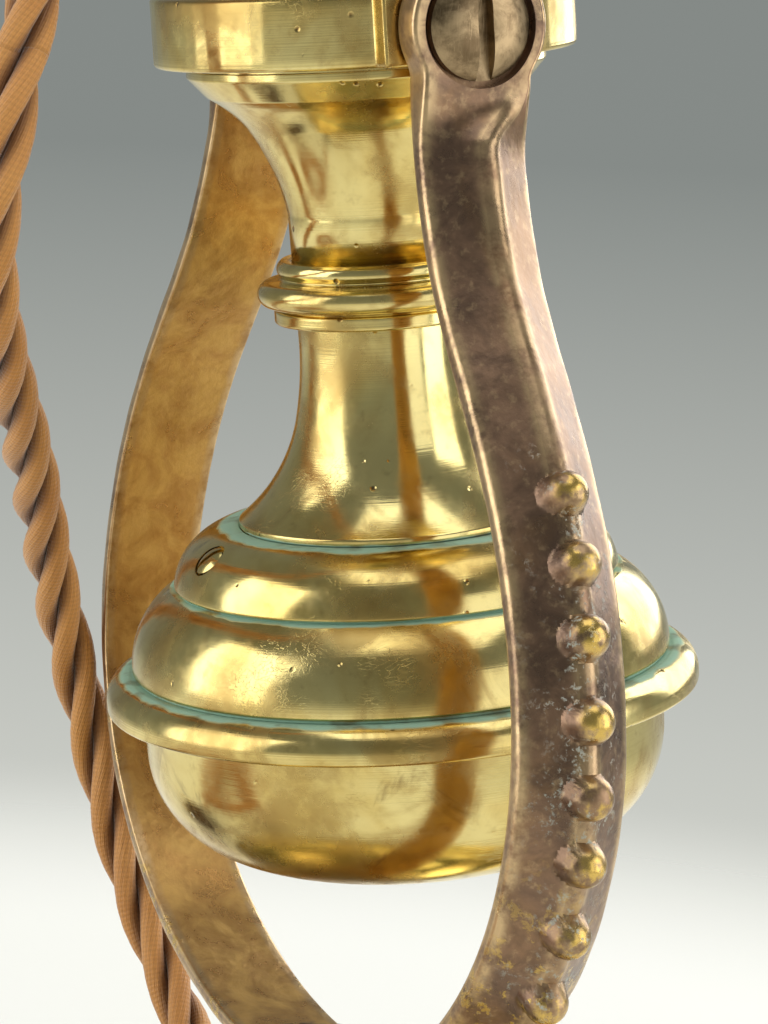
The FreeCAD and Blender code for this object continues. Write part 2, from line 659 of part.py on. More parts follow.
# Lamp body below the ring, from the drum and flare to the bowl.
def body_parts():
    inside = DRUM_RADIUS[:-1] + " - drum_wall)"
    drum = turned("drum_turned", [
        (ROD_HOLE, FLANGE_TOP),
        (DRUM_RADIUS, FLANGE_TOP),
        (DRUM_RADIUS, "drum_rise"),
        (inside, "drum_rise"),
        (inside, FLANGE_TOP + " + drum_floor"),
        (ROD_HOLE, FLANGE_TOP + " + drum_floor"),
    ])
    drum_holes = rod("drum_holes", "bush_radius + seat_gap", 80, (0, -40, 0), "y")
    place(cut("drum_cut", drum, drum_holes), "drum", "gimbal")
    bush = cut("drum_bush", rod("bush_rod", "bush_radius", "drum_wall + 1.2", (0, inside + " - 1.3", 0), "y"),
               rod("bush_bore", "pin_radius + running_gap", 40, (0, 0, 0), "y"))
    place(copies("drum_bush_pair", bush, (0, 180)), "drum_bushes", "gimbal")

    throat, flange = "flare_throat_radius", "flange_radius"
    spread = "(flange_radius - flare_throat_radius)"
    place(turned("flare_turned", [
        (throat, FLARE_FOOT),
        (throat + " + 0.09", FLARE_FOOT + " + 0.236 * flare_length", -0.054),
        (throat + " + 0.391 * " + spread, FLARE_FOOT + " + 0.683 * flare_length", -0.05),
        (throat + " + 0.797 * " + spread, FLARE_FOOT + " + 0.851 * flare_length"),
        (flange, FLANGE_TOP + " - flange_edge"),
        (flange, FLANGE_TOP),
        (flange + " - 2.2", FLANGE_TOP),
        (throat + " + 0.797 * %s - 0.9" % spread, FLARE_FOOT + " + 0.851 * flare_length + 1"),
        (throat + " + 0.391 * %s - 1" % spread, FLARE_FOOT + " + 0.683 * flare_length + 0.75", 0.05),
        (throat + " - shell_wall", FLARE_FOOT + " + 0.236 * flare_length"),
        (throat + " - shell_wall", FLARE_FOOT),
    ]), "flare", "gimbal")

    place(turned("collar_turned", [
        (ROD_HOLE, COLLAR_FOOT),
        ("collar_ring_radius - 0.2", COLLAR_FOOT),
        ("collar_ring_radius", COLLAR_FOOT + " + 0.2"),
        ("collar_ring_radius", COLLAR_FOOT + " + 1.4"),
        ("collar_ring_radius - 0.5", COLLAR_FOOT + " + 1.6"),
        ("collar_radius - 1.35", COLLAR_FOOT + " + 1.85", 0.5),
        ("collar_radius - 1.35", COLLAR_FOOT + " + 4.55"),
        ("collar_bead_radius - 0.3", COLLAR_FOOT + " + 4.7"),
        ("collar_bead_radius - 0.3", COLLAR_FOOT + " + 5.1", 0.22),
        ("collar_bead_radius - 0.5", FLARE_FOOT + " - 0.1"),
        ("collar_bead_radius - 0.6", FLARE_FOOT),
        (ROD_HOLE, FLARE_FOOT),
    ]), "collar", "gimbal")

    bell = "(bell_radius - neck_radius)"
    place(turned("lower_neck_turned", [
        ("bell_radius - 1.3", BELL_FOOT),
        ("bell_radius", BELL_FOOT),
        ("bell_radius", BELL_FOOT + " + bell_edge", -0.084),
        ("neck_radius + 0.124 * " + bell, BELL_FOOT + " + 0.493 * neck_length", -0.031),
        ("neck_radius", BELL_FOOT + " + 0.931 * neck_length"),
        ("neck_radius", COLLAR_FOOT),
        ("neck_radius - shell_wall", COLLAR_FOOT),
        ("neck_radius - shell_wall", BELL_FOOT + " + 0.931 * neck_length", 0.031),
        ("neck_radius - shell_wall + 0.124 * " + bell, BELL_FOOT + " + 0.493 * neck_length", 0.084),
        ("bell_radius - 1.3", BELL_FOOT + " + bell_edge - 0.5"),
    ]), "lower_neck", "gimbal")

    one, two = "shoulder_one_radius", "shoulder_two_radius"
    start_one = (one + " + 0.05", GROOVE_TWO + " + 0.5")
    end_one = ("bell_radius + 0.6", BELL_FOOT)
    wall = 1.5
    dome = turned("shoulder_turned", [
        (two + " - 1.5", RIM_TOP),
        (two + " - 0.35", RIM_TOP),
        (two + " - 0.35", RIM_TOP + " + 0.3"),
        (two, RIM_TOP + " + 0.45", 0.136),
        (one + " + 0.45", GROOVE_TWO + " + 0.05"),
        (one + " - groove_depth", GROOVE_TWO + " + 0.12"),
        start_one + (0.189,),
        end_one,
        ("bell_radius + 0.1", BELL_FOOT),
        ("bell_radius - 0.1", BELL_FOOT + " - 0.3"),
        ("bell_radius - 0.5", BELL_FOOT),
        (ROD_HOLE, BELL_FOOT),
        (ROD_HOLE, BELL_FOOT + " - %g" % wall),
        ("bell_radius + 0.1", BELL_FOOT + " - %g" % wall, -0.189),
        (one + " - 1.5", GROOVE_TWO + " - 0.2"),
        (one + " - 1.5", GROOVE_TWO + " - 1.4"),
        (one + " - 0.5", GROOVE_TWO + " - 1.5", -0.136),
        (two + " - 1.5", RIM_TOP + " + 0.4"),
    ])
    (ax, ay), (bx, by) = start_one, end_one
    crown = (0, "((%s) + (%s)) / 2 + 0.189 * ((%s) - (%s))" % (ax, bx, by, ay),
             "((%s) + (%s)) / 2 - 0.189 * ((%s) - (%s))" % (ay, by, bx, ax))
    tilt = 41.3
    inward = FreeCAD.Rotation(Vector(1, 0, 0), 180 - tilt)
    head = "cover_screw_head_radius"
    screw_hole = rod("cover_screw_hole", "cover_screw_radius + rod_gap", 6, crown, inward)
    screw_seat = rod("cover_screw_seat", head + " + 0.25", 0.9, crown, inward)
    dome_holes = copies("cover_screw_holes", screw_hole, (0, 180))
    dome_seats = copies("cover_screw_seats", screw_seat, (0, 180))
    place(cut("shoulder_cut", dome, dome_holes, dome_seats), "shoulder_cover", "gimbal")

    screw = turned("cover_screw_turned", [
        (0, -7.2),
        ("cover_screw_radius - 0.3", -7.2),
        ("cover_screw_radius", -6.9),
        ("cover_screw_radius", -0.88),
        (head, -0.88),
        (head, -0.2, 0.1),
        (0, 0.15),
    ])
    slot = block("cover_screw_slot", 8, 0.6, 2, (-4, -0.3, -0.4))
    screw_cut = cut("cover_screw", screw, slot)
    doc.recompute()
    shapes = []
    for angle in (0, 180):
        shape = screw_cut.Shape.copy()
        shape.rotate(Vector(0, 0, 0), Vector(0, 0, 1), 62)
        shape.rotate(Vector(0, 0, 0), Vector(1, 0, 0), -tilt)
        shape.translate(Vector(*[size(part) for part in crown]))
        shape.rotate(Vector(0, 0, 0), Vector(0, 0, 1), angle)
        shapes.append(shape)
    place(solids("cover_screw_pair", *shapes), "shoulder_screws", "gimbal")

    strap_level = BELL_FOOT + " - 8.2"
    bar = block("strap_bar", "strap_width", "2 * bell_radius + 2", "strap_thickness",
                ("-strap_width / 2", "-bell_radius - 1", strap_level))
    lug_turn = FreeCAD.Rotation(Vector(1, 0, 0), 180 - tilt)
    reach = 2.5
    lug_base = (0, "%s - %g" % (crown[1], reach * math.sin(math.radians(tilt))),
                "%s - %g" % (crown[2], reach * math.cos(math.radians(tilt))))
    lug = rod("strap_lug", "cover_screw_radius + 1.4", 5.4, lug_base, lug_turn)
    lugs = copies("strap_lugs", lug, (0, 180))
    lug_bore = rod("strap_bore", "cover_screw_radius + thread_gap", 14, crown, lug_turn)
    lug_bores = copies("strap_bores", lug_bore, (0, 180))
    strap_hole = rod("strap_hole", ROD_HOLE, 10, (0, 0, strap_level + " - 4"))
    place(cut("strap_cut", join("strap_body", [bar, lugs]), lug_bores, strap_hole), "screw_strap", "gimbal")

    place(turned("rim_turned", [
        ("rim_bore_radius", RIM_FOOT),
        ("rim_radius - 0.45", RIM_FOOT, 0.2),
        ("rim_radius", RIM_FOOT + " + 0.45"),
        ("rim_radius", RIM_FOOT + " + 1.2", 0.2),
        ("rim_radius - 2.6", RIM_TOP + " + 0.05"),
        ("rim_radius - 2.9", RIM_TOP),
        ("rim_bore_radius", RIM_TOP),
    ]), "rim_ring", "gimbal")

    outer, inner = "bowl_radius", "(bowl_radius - bowl_wall)"
    place(turned("bowl_turned", [
        ("bottom_nut_radius + 0.05", BOWL_FOOT),
        ("0.281 * " + outer, BOWL_FOOT + " + 0.05", 0.04),
        ("0.728 * " + outer, BOWL_FOOT + " + 0.144 * bowl_depth", 0.149),
        ("0.995 * " + outer, BOWL_FOOT + " + 0.73 * bowl_depth"),
        (outer, RIM_FOOT),
        (inner, RIM_FOOT),
        ("0.995 * " + inner, BOWL_FOOT + " + 0.73 * bowl_depth", -0.149),
        ("0.728 * " + inner, BOWL_FOOT + " + 0.13 * bowl_depth + bowl_wall", -0.04),
        ("0.281 * " + inner, BOWL_FOOT + " + bowl_wall"),
        ("bottom_nut_radius - 0.95", BOWL_FOOT + " + bowl_wall"),
        ("bottom_nut_radius - 0.95", BOWL_FOOT + " + bowl_wall - 0.1"),
    ]), "bowl", "gimbal")

    floor = BOWL_FOOT + " + bowl_wall + 0.05"
    place(turned("ballast_turned", [
        (ROD_HOLE, floor + " + 2.4"),
        ("bottom_nut_radius - 0.9", floor + " + 2.4"),
        ("bottom_nut_radius - 0.9", floor),
        ("bottom_nut_radius + 0.4", floor),
        ("0.78 * ballast_radius", floor + " + 2.4"),
        ("ballast_radius", floor + " + 6.2"),
        ("ballast_radius", floor + " + ballast_thickness"),
        (ROD_HOLE, floor + " + ballast_thickness"),
    ]), "ballast", "gimbal")

    rod_foot = BOWL_FOOT + " + 1.15"
    tube = rod("tie_rod_tube", "rod_radius", HOLDER_FOOT + " + 2.8 - " + rod_foot, (0, 0, rod_foot))
    tube_bore = rod("tie_rod_bore", "rod_bore_radius", 200, (0, 0, rod_foot + " - 5"))
    place(cut("tie_rod_cut", tube, tube_bore), "tie_rod", "gimbal")
    bottom_nut = turned("bottom_nut_turned", [
        (0, BOWL_FOOT),
        ("bottom_nut_radius", BOWL_FOOT),
        ("bottom_nut_radius - 1", BOWL_FOOT + " + bowl_wall - 0.1"),
        ("bottom_nut_radius - 1", BOWL_FOOT + " + bowl_wall + 2.2"),
        ("rod_radius + thread_gap", BOWL_FOOT + " + bowl_wall + 2.2"),
        ("rod_radius + thread_gap", BOWL_FOOT + " + 1.1"),
        (0, BOWL_FOOT + " + 1.1"),
    ])
    nut_slot = block("bottom_nut_slot", "3 * bottom_nut_radius", 1.2, 5,
                     ("-1.5 * bottom_nut_radius", -0.6, BOWL_FOOT + " - 4.4"))
    place(cut("bottom_nut_cut", bottom_nut, nut_slot), "bottom_nut", "gimbal")


# Above the ring: drum cover, lock nut, bayonet lampholder and bulb.
def top_parts():
    place(turned("drum_cover_turned", [
        (ROD_HOLE, COVER_SEAT + " - 1.4"),
        ("cover_seat_radius - 1", COVER_SEAT + " - 1.4", -0.12),
        (DRUM_RADIUS + " - 1.4", "drum_rise + 0.6"),
        (DRUM_RADIUS + " - 1.4", "drum_rise"),
        (DRUM_RADIUS, "drum_rise"),
        (DRUM_RADIUS, "drum_rise + 1", 0.12),
        ("cover_seat_radius", COVER_SEAT),
        (ROD_HOLE, COVER_SEAT),
    ]), "drum_cover", "gimbal")
    nut = hexagon("lock_nut_hexagon", "lock_nut_radius", "lock_nut_height", (0, 0, COVER_SEAT))
    nut_bore = rod("lock_nut_bore", "rod_radius + thread_gap", 60, (0, 0, 0))
    place(cut("lock_nut_cut", nut, nut_bore), "lock_nut", "gimbal")

    wall = "(holder_radius - holder_base_wall)"
    cup = turned("holder_base_turned", [
        ("rod_radius + thread_gap", HOLDER_FOOT),
        ("holder_radius - 3.6", HOLDER_FOOT, 0.2),
        ("holder_radius", HOLDER_FOOT + " + 2.6"),
        ("holder_radius", HOLDER_TOP + " - 2.4"),
        ("holder_radius + 0.9", HOLDER_TOP + " - 2.2"),
        ("holder_radius + 0.9", HOLDER_TOP),
        (wall, HOLDER_TOP),
        (wall, HOLDER_FOOT + " + 3", -0.2),
        ("holder_radius - 4.4", HOLDER_FOOT + " + 1.6"),
        ("rod_radius + thread_gap", HOLDER_FOOT + " + 1.6"),
    ])
    outlet = ("0", "-holder_radius / 2", HOLDER_FOOT + " + outlet_height")
    outlet_hole = rod("holder_outlet_hole", "sleeve_radius + seat_gap", 20, outlet, "-y")
    place(cut("holder_base_cut", cup, outlet_hole), "holder_base", "gimbal")
    bush = turned("outlet_bush_turned", [
        ("flex_radius + 0.1", -1.2),
        ("sleeve_radius", -1.2),
        ("sleeve_radius", 0.7),
        ("sleeve_radius + 0.9", 0.7),
        ("sleeve_radius + 0.9", 1.6),
        ("flex_radius + 0.8", 2.8),
        ("flex_radius + 0.1", 2.8),
    ])
    stand(bush, (0, "-holder_radius", HOLDER_FOOT + " + outlet_height"), "-y")
    doc.recompute()
    place(solids("outlet_bush_solid", bush.Shape.copy().Solids[0]), "outlet_bush", "gimbal")

    seat, post = HOLDER_TOP + " + 1", "(holder_shell_radius - holder_shell_wall)"
    insulator = turned("insulator_turned", [
        (0, HOLDER_TOP),
        ("holder_shell_radius", HOLDER_TOP),
        ("holder_shell_radius", seat),
        (post + " - 0.1", seat),
        (post + " - 0.1", INSULATOR_TOP + " - 0.5"),
        (post + " - 0.6", INSULATOR_TOP),
        (0, INSULATOR_TOP),
    ])
    wells = []
    for side in (1, -1):
        spot = "%d * plunger_spacing / 2" % side
        wells.append(rod("plunger_well", "plunger_radius + running_gap", 30, (0, spot, HOLDER_TOP + " + 2")))
    place(cut("insulator_cut", insulator, *wells), "holder_insulator", "gimbal")

    tip, shank = CAP_FOOT + " - 0.05", HOLDER_TOP + " + 2.4"
    plunger = turned("plunger_turned", [
        (0, shank),
        (0.8, shank),
        (0.8, INSULATOR_TOP + " - 2.4"),
        ("plunger_radius", INSULATOR_TOP + " - 2.4"),
        ("plunger_radius", tip + " - 0.4", 0.15),
        ("plunger_radius - 0.5", tip),
        (0, tip),
    ])
    doc.recompute()
    spring_foot = size(HOLDER_TOP) + 2.25
    spring_top = size(INSULATOR_TOP) - 2.65
    helix = Part.makeHelix((spring_top - spring_foot) / 4.0, spring_top - spring_foot, 1.25)
    wire_ring = Part.Wire([Part.makeCircle(0.22, Vector(1.25, 0, 0), Vector(0, 1, 0.15))])
    spring = Part.Wire(helix.Edges).makePipeShell([wire_ring], True, True)
    plungers, springs = [], []
    for side in (1, -1):
        shift = Vector(0, side * size("plunger_spacing / 2"), 0)
        shape = plunger.Shape.copy().Solids[0]
        shape.translate(shift)
        plungers.append(shape)
        shape = spring.copy()
        shape.translate(shift + Vector(0, 0, spring_foot))
        springs.append(shape)
    place(solids("plunger_pair", *plungers), "plungers", "gimbal")
    place(solids("plunger_spring_pair", *springs), "plunger_springs", "gimbal")
    clamp = block("terminal_block", 4, 3.6, "terminal_height",
                  (-2, "plunger_spacing / 2 - 1.8", HOLDER_TOP + " - terminal_height"))
    clamp_bore = rod("terminal_bore", 0.95, 10, (0, "plunger_spacing / 2", HOLDER_TOP + " - terminal_height / 2"), "x")
    place(copies("terminal_pair", cut("terminal", clamp, clamp_bore), (0, 180)), "terminals", "gimbal")
    screw = rod("terminal_screw_rod", 0.92, 3.4, (0, "plunger_spacing / 2", HOLDER_TOP + " - terminal_height / 2"), "x")
    place(copies("terminal_screw_pair", screw, (0, 180)), "terminal_screws", "gimbal")

    shell = turned("holder_shell_turned", [
        (post, seat),
        ("holder_shell_radius", seat),
        ("holder_shell_radius", SHELL_TOP + " - 1.4"),
        ("holder_shell_radius + 0.7", SHELL_TOP + " - 1.1"),
        ("holder_shell_radius + 0.7", SHELL_TOP + " - 0.3"),
        ("holder_shell_radius + 0.4", SHELL_TOP),
        (post, SHELL_TOP),
    ])
    slots = []
    for angle in (0, 180):
        drop = FreeCAD.Rotation(Vector(0, 0, 1), angle - 33)
        along = FreeCAD.Rotation(Vector(0, 0, 1), angle - 33)
        level = CAP_FOOT + " + 5.1"
        slots.append(rod("bayonet_entry", 18, 30, (0, 0, level), drop, 12))
        slots.append(rod("bayonet_run", 18, 2.6, (0, 0, level), along, 39))
    core = rod("bayonet_core", post, 60, (0, 0, HOLDER_TOP))
    cutter = cut("bayonet_cutter", join("bayonet_slots", slots), core)
    place(cut("holder_shell_cut", shell, cutter), "holder_shell", "gimbal")
    ring_level = seat + " + 10.4"
    place(turned("shade_ring_turned", [
        ("holder_shell_radius + thread_gap", ring_level),
        ("shade_ring_radius - 0.5", ring_level),
        ("shade_ring_radius", ring_level + " + 0.5"),
        ("shade_ring_radius", ring_level + " + 1.3", -0.2),
        ("holder_shell_radius + 2.2", ring_level + " + shade_ring_height"),
        ("holder_shell_radius + thread_gap", ring_level + " + shade_ring_height"),
    ]), "shade_ring", "gimbal")

    cap = turned("bulb_cap_turned", [
        ("cap_radius - 0.5", CAP_FOOT + " + 1.2"),
        ("cap_radius", CAP_FOOT + " + 1.2"),
        ("cap_radius", CAP_TOP),
        ("cap_radius - 0.5", CAP_TOP),
    ])
    cross_pin = rod("cap_cross_pin", "cap_pin_radius", "2 * cap_pin_reach", ("-cap_pin_reach", 0, CAP_FOOT + " + 6.4"), "x")
    core_cut = rod("cap_core", "cap_radius - 0.5", 60, (0, 0, CAP_FOOT + " + 1.2"))
    place(cut("bulb_cap_cut", join("bulb_cap_body", [cap, cross_pin]), core_cut), "bulb_cap", "gimbal")
    base = turned("bulb_base_turned", [
        (0, CAP_FOOT),
        ("cap_radius - 2.4", CAP_FOOT, 0.15),
        ("cap_radius - 0.55", CAP_FOOT + " + 1.2"),
        ("cap_radius - 0.55", CAP_FOOT + " + 3.4"),
        (0, CAP_FOOT + " + 3.4"),
    ])
    pads = []
    for side in (1, -1):
        spot = "%d * plunger_spacing / 2" % side
        pads.append(rod("contact_seat", "plunger_radius + 0.2", 1, (0, spot, CAP_FOOT + " - 0.5")))
    place(cut("bulb_base_cut", base, *pads), "bulb_base", "gimbal")
    contact = rod("bulb_contact", "plunger_radius + 0.18", 0.49, (0, "plunger_spacing / 2", CAP_FOOT))
    place(copies("bulb_contact_pair", contact, (0, 180)), "bulb_contacts", "gimbal")

    neck, hollow = "(cap_radius - 0.6)", "(cap_radius - 0.6 - glass_wall)"
    thin = "(globe_radius - glass_wall)"
    neck_level = "%s - sqrt(globe_radius * globe_radius - %s * %s)" % (GLOBE_LEVEL, neck, neck)
    hollow_level = "%s - sqrt(%s * %s - %s * %s)" % (GLOBE_LEVEL, thin, thin, hollow, hollow)
    place(turned("bulb_glass_turned", [
        (hollow, CAP_TOP + " - 7"),
        (neck, CAP_TOP + " - 7"),
        (neck, neck_level, 0.1395),
        ("globe_radius", GLOBE_LEVEL, 0.2),
        (0.6, GLOBE_LEVEL + " + globe_radius"),
        (0, GLOBE_LEVEL + " + globe_radius"),
        (0, GLOBE_LEVEL + " + " + thin),
        (0.6, GLOBE_LEVEL + " + " + thin, -0.2),
        (thin, GLOBE_LEVEL, -0.143),
        (hollow, hollow_level),
    ]), "bulb_glass", "gimbal")
    place(turned("bulb_stem_turned", [
        (0, CAP_TOP + " - 9"),
        (hollow + " - 0.1", CAP_TOP + " - 9"),
        (hollow + " - 0.1", CAP_TOP + " - 7.6", -0.2),
        (2.6, CAP_TOP + " - 2"),
        (2.2, GLOBE_LEVEL + " - 9"),
        (1.2, GLOBE_LEVEL + " - 8"),
        (0, GLOBE_LEVEL + " - 8"),
    ]), "bulb_stem", "gimbal")
    level = size(GLOBE_LEVEL)
    loop, wire = size("filament_radius"), size("filament_wire_radius")
    shape = Part.makeTorus(loop, wire, Vector(0, 0, level + 1))
    for side in (1, -1):
        foot = Vector(0, side * 1.2, level - 9.5)
        lead = Vector(0, side * loop, level + 1) - foot
        shape = shape.fuse(Part.makeCylinder(0.3, lead.Length, foot, lead))
    lower = turned("filament_hook", [(0, GLOBE_LEVEL + " - 9.9"), (1.6, GLOBE_LEVEL + " - 9.9"),
                                    (1.6, GLOBE_LEVEL + " - 9.3"), (0, GLOBE_LEVEL + " - 9.3")])
    doc.recompute()
    shape = shape.fuse(lower.Shape.Solids[0])
    stem_shape = nodes["bulb_stem"].Shape.copy()
    stem_shape.Placement = FreeCAD.Placement()
    shape = shape.cut(stem_shape)
    place(solids("filament_loop", *shape.Solids), "filament", "gimbal")


# Flex: straight runs joined by tangent arcs, as one tube along hand-chosen corners.
def sweep_tube(name, edges):
    path = Part.Wire(edges)
    thick = size("flex_radius")
    first = edges[0]
    start = first.valueAt(first.FirstParameter)
    ring = Part.Wire([Part.makeCircle(thick, start, first.tangentAt(first.FirstParameter))])
    tube = path.makePipeShell([ring], True, False)
    expected = math.pi * thick ** 2 * path.Length
    print(name, "length %.1f" % path.Length, "volume ratio %.5f" % (tube.Volume / expected),
          "solids %d" % len(tube.Solids), "valid", tube.isValid(), "low %.2f" % tube.BoundBox.ZMin)
    return tube.Solids[0]


# The clear space between one turn of a tube and the next, from points one radius apart along it.
def least_gap(edges):
    radius = size("flex_radius")
    line = Part.Wire(edges).discretize(Distance=radius)
    apart = int(math.pi * size("coil_inner_radius") / radius / 2)
    least = min((there - here).Length for index, here in enumerate(line) for there in line[index + apart:])
    return least - 2 * radius


def flex_tube(name, points):
    edges = []
    radii = []
    here = points[0]
    for before, corner, after in zip(points, points[1:], points[2:]):
        reach = 0.45 * min((corner - before).Length, (after - corner).Length)
        start, middle, end, radius = corner_arc(before, corner, after, reach)
        radii.append(radius)
        edges.append(Part.LineSegment(here, start).toShape())
        edges.append(Part.Arc(start, middle, end).toShape())
        here = end
    edges.append(Part.LineSegment(here, points[-1]).toShape())
    print(name, "radii", [round(radius, 1) for radius in radii])
    return sweep_tube(name, edges)


# Corners of the hanging flex below the ring, from the pivots' centre: the photograph's own line.
DROP = [(0.0, -39.55, -14.62), (-4.0, -39.2, -23.0), (-12.0, -36.0, -31.2), (-24.0, -29.6, -40.4),
        (-36.0, -22.4, -50.3), (-47.0, -16.3, -60.8), (-55.0, -10.9, -72.0), (-58.5, -6.3, -83.4),
        (-57.5, -3.3, -94.7), (-53.5, -1.6, -104.0), (-47.5, 0.0, -112.3), (-40.0, 1.2, -119.3)]
# Falls of the flex beside the lampholder, as (length, degrees below level).
TAIL = [(9.0, 25.0), (9.0, 50.0), (11.0, 73.3)]
COIL_CENTRE = (-43.7, -142.0)
# Corners from the base's outlet to the coil, and from the coil's end to the plug, at floor level.
RUN = [(0.0, -78.0, 6.3), (2.5, -94.0, 3.3), (4.2, -109.0, 3.06), (0.0, -126.0, 3.05)]
LEAD = [(0.0, 16.0, 0.0), (2.2, 27.0, -3.2), (8.2, 37.0, -6.2), (14.7, 45.5, -5.4), (16.4, 56.0, -3.25)]


def flex_parts():
    pivot = size(PIVOT_LEVEL)
    outlet_level = size(HOLDER_FOOT + " + outlet_height")
    side = -size("holder_radius") + 4.1
    tail = [Vector(0, side, outlet_level)]
    here = tail[0] + Vector(0, -size("outlet_run"), 0)
    tail.append(here)
    for length, fall in TAIL:
        turn = math.radians(fall)
        here = here + Vector(0, -length * math.cos(turn), -length * math.sin(turn))
        tail.append(here)
    print("split in the ring's frame", here)
    place(solids("flex_tail_tube", flex_tube("flex_tail", tail)), "flex_tail", "gimbal")

    lean = FreeCAD.Rotation(Vector(1, 0, 0), size("lamp_lean"))
    split = lean.multVec(here) + Vector(0, 0, pivot)
    slope = math.radians(size("inlet_slope"))
    mouth = Vector(-size("inlet_reach"), size("inlet_side"), size("inlet_level"))
    end = mouth + Vector(math.cos(slope), 0, -math.sin(slope)) * 3.0
    onward = lean.multVec(tail[-1] - tail[-2]).normalize()
    drop = [split + onward * size("flex_break")] + [Vector(*corner) + Vector(0, 0, pivot) for corner in DROP] + [end]
    place(solids("flex_drop_tube", flex_tube("flex_drop", drop)), "flex_drop")

    low = size("flex_radius") + 0.05
    pitch, inner = size("coil_pitch"), size("coil_inner_radius")
    turns = 6
    outer = inner + turns * pitch / 2
    centre = Vector(COIL_CENTRE[0], COIL_CENTRE[1], low)
    start = centre + Vector(outer, 0, 0)
    rise = Vector(0, 0, pitch)
    diameter = 2 * size("flex_radius")
    edges = [Part.LineSegment(start + Vector(0, diameter, 0), start).toShape()]
    here, below = start, True
    for step in range(turns):
        radius = outer - step * pitch / 2
        sign = -1 if below else 1
        end_point = here + Vector(2 * radius * (-1 if below else 1), 0, 0)
        middle = (here + end_point) * 0.5 + Vector(0, sign * radius, 0)
        edges.append(Part.Arc(here, middle, end_point).toShape())
        here, below = end_point, not below
    top = here + Vector(-2 * inner, 0, 0) + rise
    reach = (top - here).Length / 2
    knee_one, knee_two = here + Vector(0, -reach, 0), top + Vector(0, -reach, 0)
    summit = (knee_one + knee_two) * 0.5
    for begin, knee, finish in ((here, knee_one, summit), (summit, knee_two, top)):
        middle = corner_arc(begin, knee, finish, reach)[1]
        edges.append(Part.Arc(begin, middle, finish).toShape())
    here, below = top, False
    for step in range(turns):
        radius = inner + (step + 1) * pitch / 2
        sign = -1 if below else 1
        end_point = here + Vector(2 * radius * (-1 if below else 1), 0, 0)
        middle = (here + end_point) * 0.5 + Vector(0, sign * radius, 0)
        edges.append(Part.Arc(here, middle, end_point).toShape())
        here, below = end_point, not below
    coil_end = here + Vector(0, diameter, 0)
    edges.append(Part.LineSegment(here, coil_end).toShape())
    place(solids("flex_coil_tube", sweep_tube("flex_coil", edges)), "flex_coil")
    print("flex_coil least gap to itself %.2f" % least_gap(edges))

    run = [Vector(0, -size("base_radius") + 6, size("exit_level"))] + [Vector(*corner) for corner in RUN]
    run.append(start + Vector(0, diameter, 0))
    place(solids("flex_run_tube", flex_tube("flex_run", run)), "flex_run")
    shift = here
    lead = [coil_end] + [shift + Vector(*corner) for corner in LEAD]
    entry = lead[-1]
    lead.append(entry + Vector(0, size("plug_neck_clear + plug_flex_reach"), 0))
    place(solids("flex_lead_tube", flex_tube("flex_lead", lead)), "flex_lead")
    return entry


# Plug: a small round one that lies on its back beside the coil, with three round pins.
def plug_parts(entry):
    y = entry.y + size("plug_neck_clear + plug_neck_length - plug_neck_inset + plug_radius")
    x, level = entry.x, entry.z
    foot = 0.05
    top = foot + size("plug_height")
    body = turned("plug_body_turned", [
        (0, foot),
        ("plug_radius - 3", foot, 0.2),
        ("plug_radius", foot + 3),
        ("plug_radius", top),
        ("plug_radius - 2.4", top),
        ("plug_radius - 2.4", top - 10.2),
        (0, top - 10.2),
    ])
    neck = turned("plug_neck_turned", [
        (0, 0),
        (5.4, 0),
        (5.4, "plug_neck_length - 8.5"),
        (4.6, "plug_neck_length - 6.5"),
        ("flex_radius + 0.8", "plug_neck_length"),
        (0, "plug_neck_length"),
    ])
    stand(neck, (0, "-plug_radius + plug_neck_inset", level), "-y")
    bore = rod("plug_neck_bore", "flex_radius + 0.1", 60, (0, "-plug_radius + 9", level), "-y")
    hollow = rod("plug_hollow", "plug_radius - 2.4", 30, (0, 0, top - 10.2))
    plug = cut("plug_body_cut", join("plug_body_join", [body, neck]), bore, hollow)
    cover_top = top + size("plug_cover_height")
    cover = turned("plug_cover_turned", [
        (0, top),
        ("plug_radius", top),
        ("plug_radius", cover_top - 0.8),
        ("plug_radius - 0.8", cover_top),
        (0, cover_top),
    ])
    spread = size("plug_pin_spread")
    spots = [(0, 8.4, "plug_earth_radius"), (spread, -5.0, "plug_pin_radius"), (-spread, -5.0, "plug_pin_radius")]
    holes = [rod("plug_pin_hole", radius + " + seat_gap", 30, (px, py, top - 1)) for px, py, radius in spots]
    screw_hole = rod("plug_screw_hole", 1.52, 30, (0, 0, top - 1))
    screw_seat = rod("plug_screw_seat", 3.0, 30, (0, 0, cover_top - 2.2))
    cover_cut = cut("plug_cover_cut", cover, screw_hole, screw_seat, *holes)
    doc.recompute()
    pins = []
    for px, py, radius in spots:
        thick = size(radius)
        length = size("plug_cover_height") + size("plug_pin_length") + 3
        pin = Part.makeCylinder(thick, length - 0.8, Vector(px, py, top - 3))
        tip = Part.makeCone(thick, thick - 0.8, 0.8, Vector(px, py, top - 3 + length - 0.8))
        pins.append(pin.fuse(tip).removeSplitter())
    screw = turned("plug_screw_turned", [
        (0, top - 6),
        (1.5, top - 6),
        (1.5, cover_top - 2.15),
        (2.9, cover_top - 2.15),
        (2.9, cover_top - 1, 0.1),
        (0, cover_top - 0.6),
    ])
    screw_cut = cut("plug_screw_cut", screw, block("plug_screw_slot", 8, 0.8, 3, (-4, -0.4, cover_top - 1.5)))
    doc.recompute()
    for label, shapes in (("plug_body", plug.Shape.Solids), ("plug_cover", cover_cut.Shape.Solids),
                          ("plug_pins", pins), ("plug_screw", screw_cut.Shape.Solids)):
        moved = [shape.copy() for shape in shapes]
        for shape in moved:
            shape.translate(Vector(x, y, 0))
        place(solids(label + "_solid", *moved), label)


base_parts()
yoke_part()
ring_parts()
body_parts()
top_parts()
plug_parts(flex_parts())
doc.recompute()

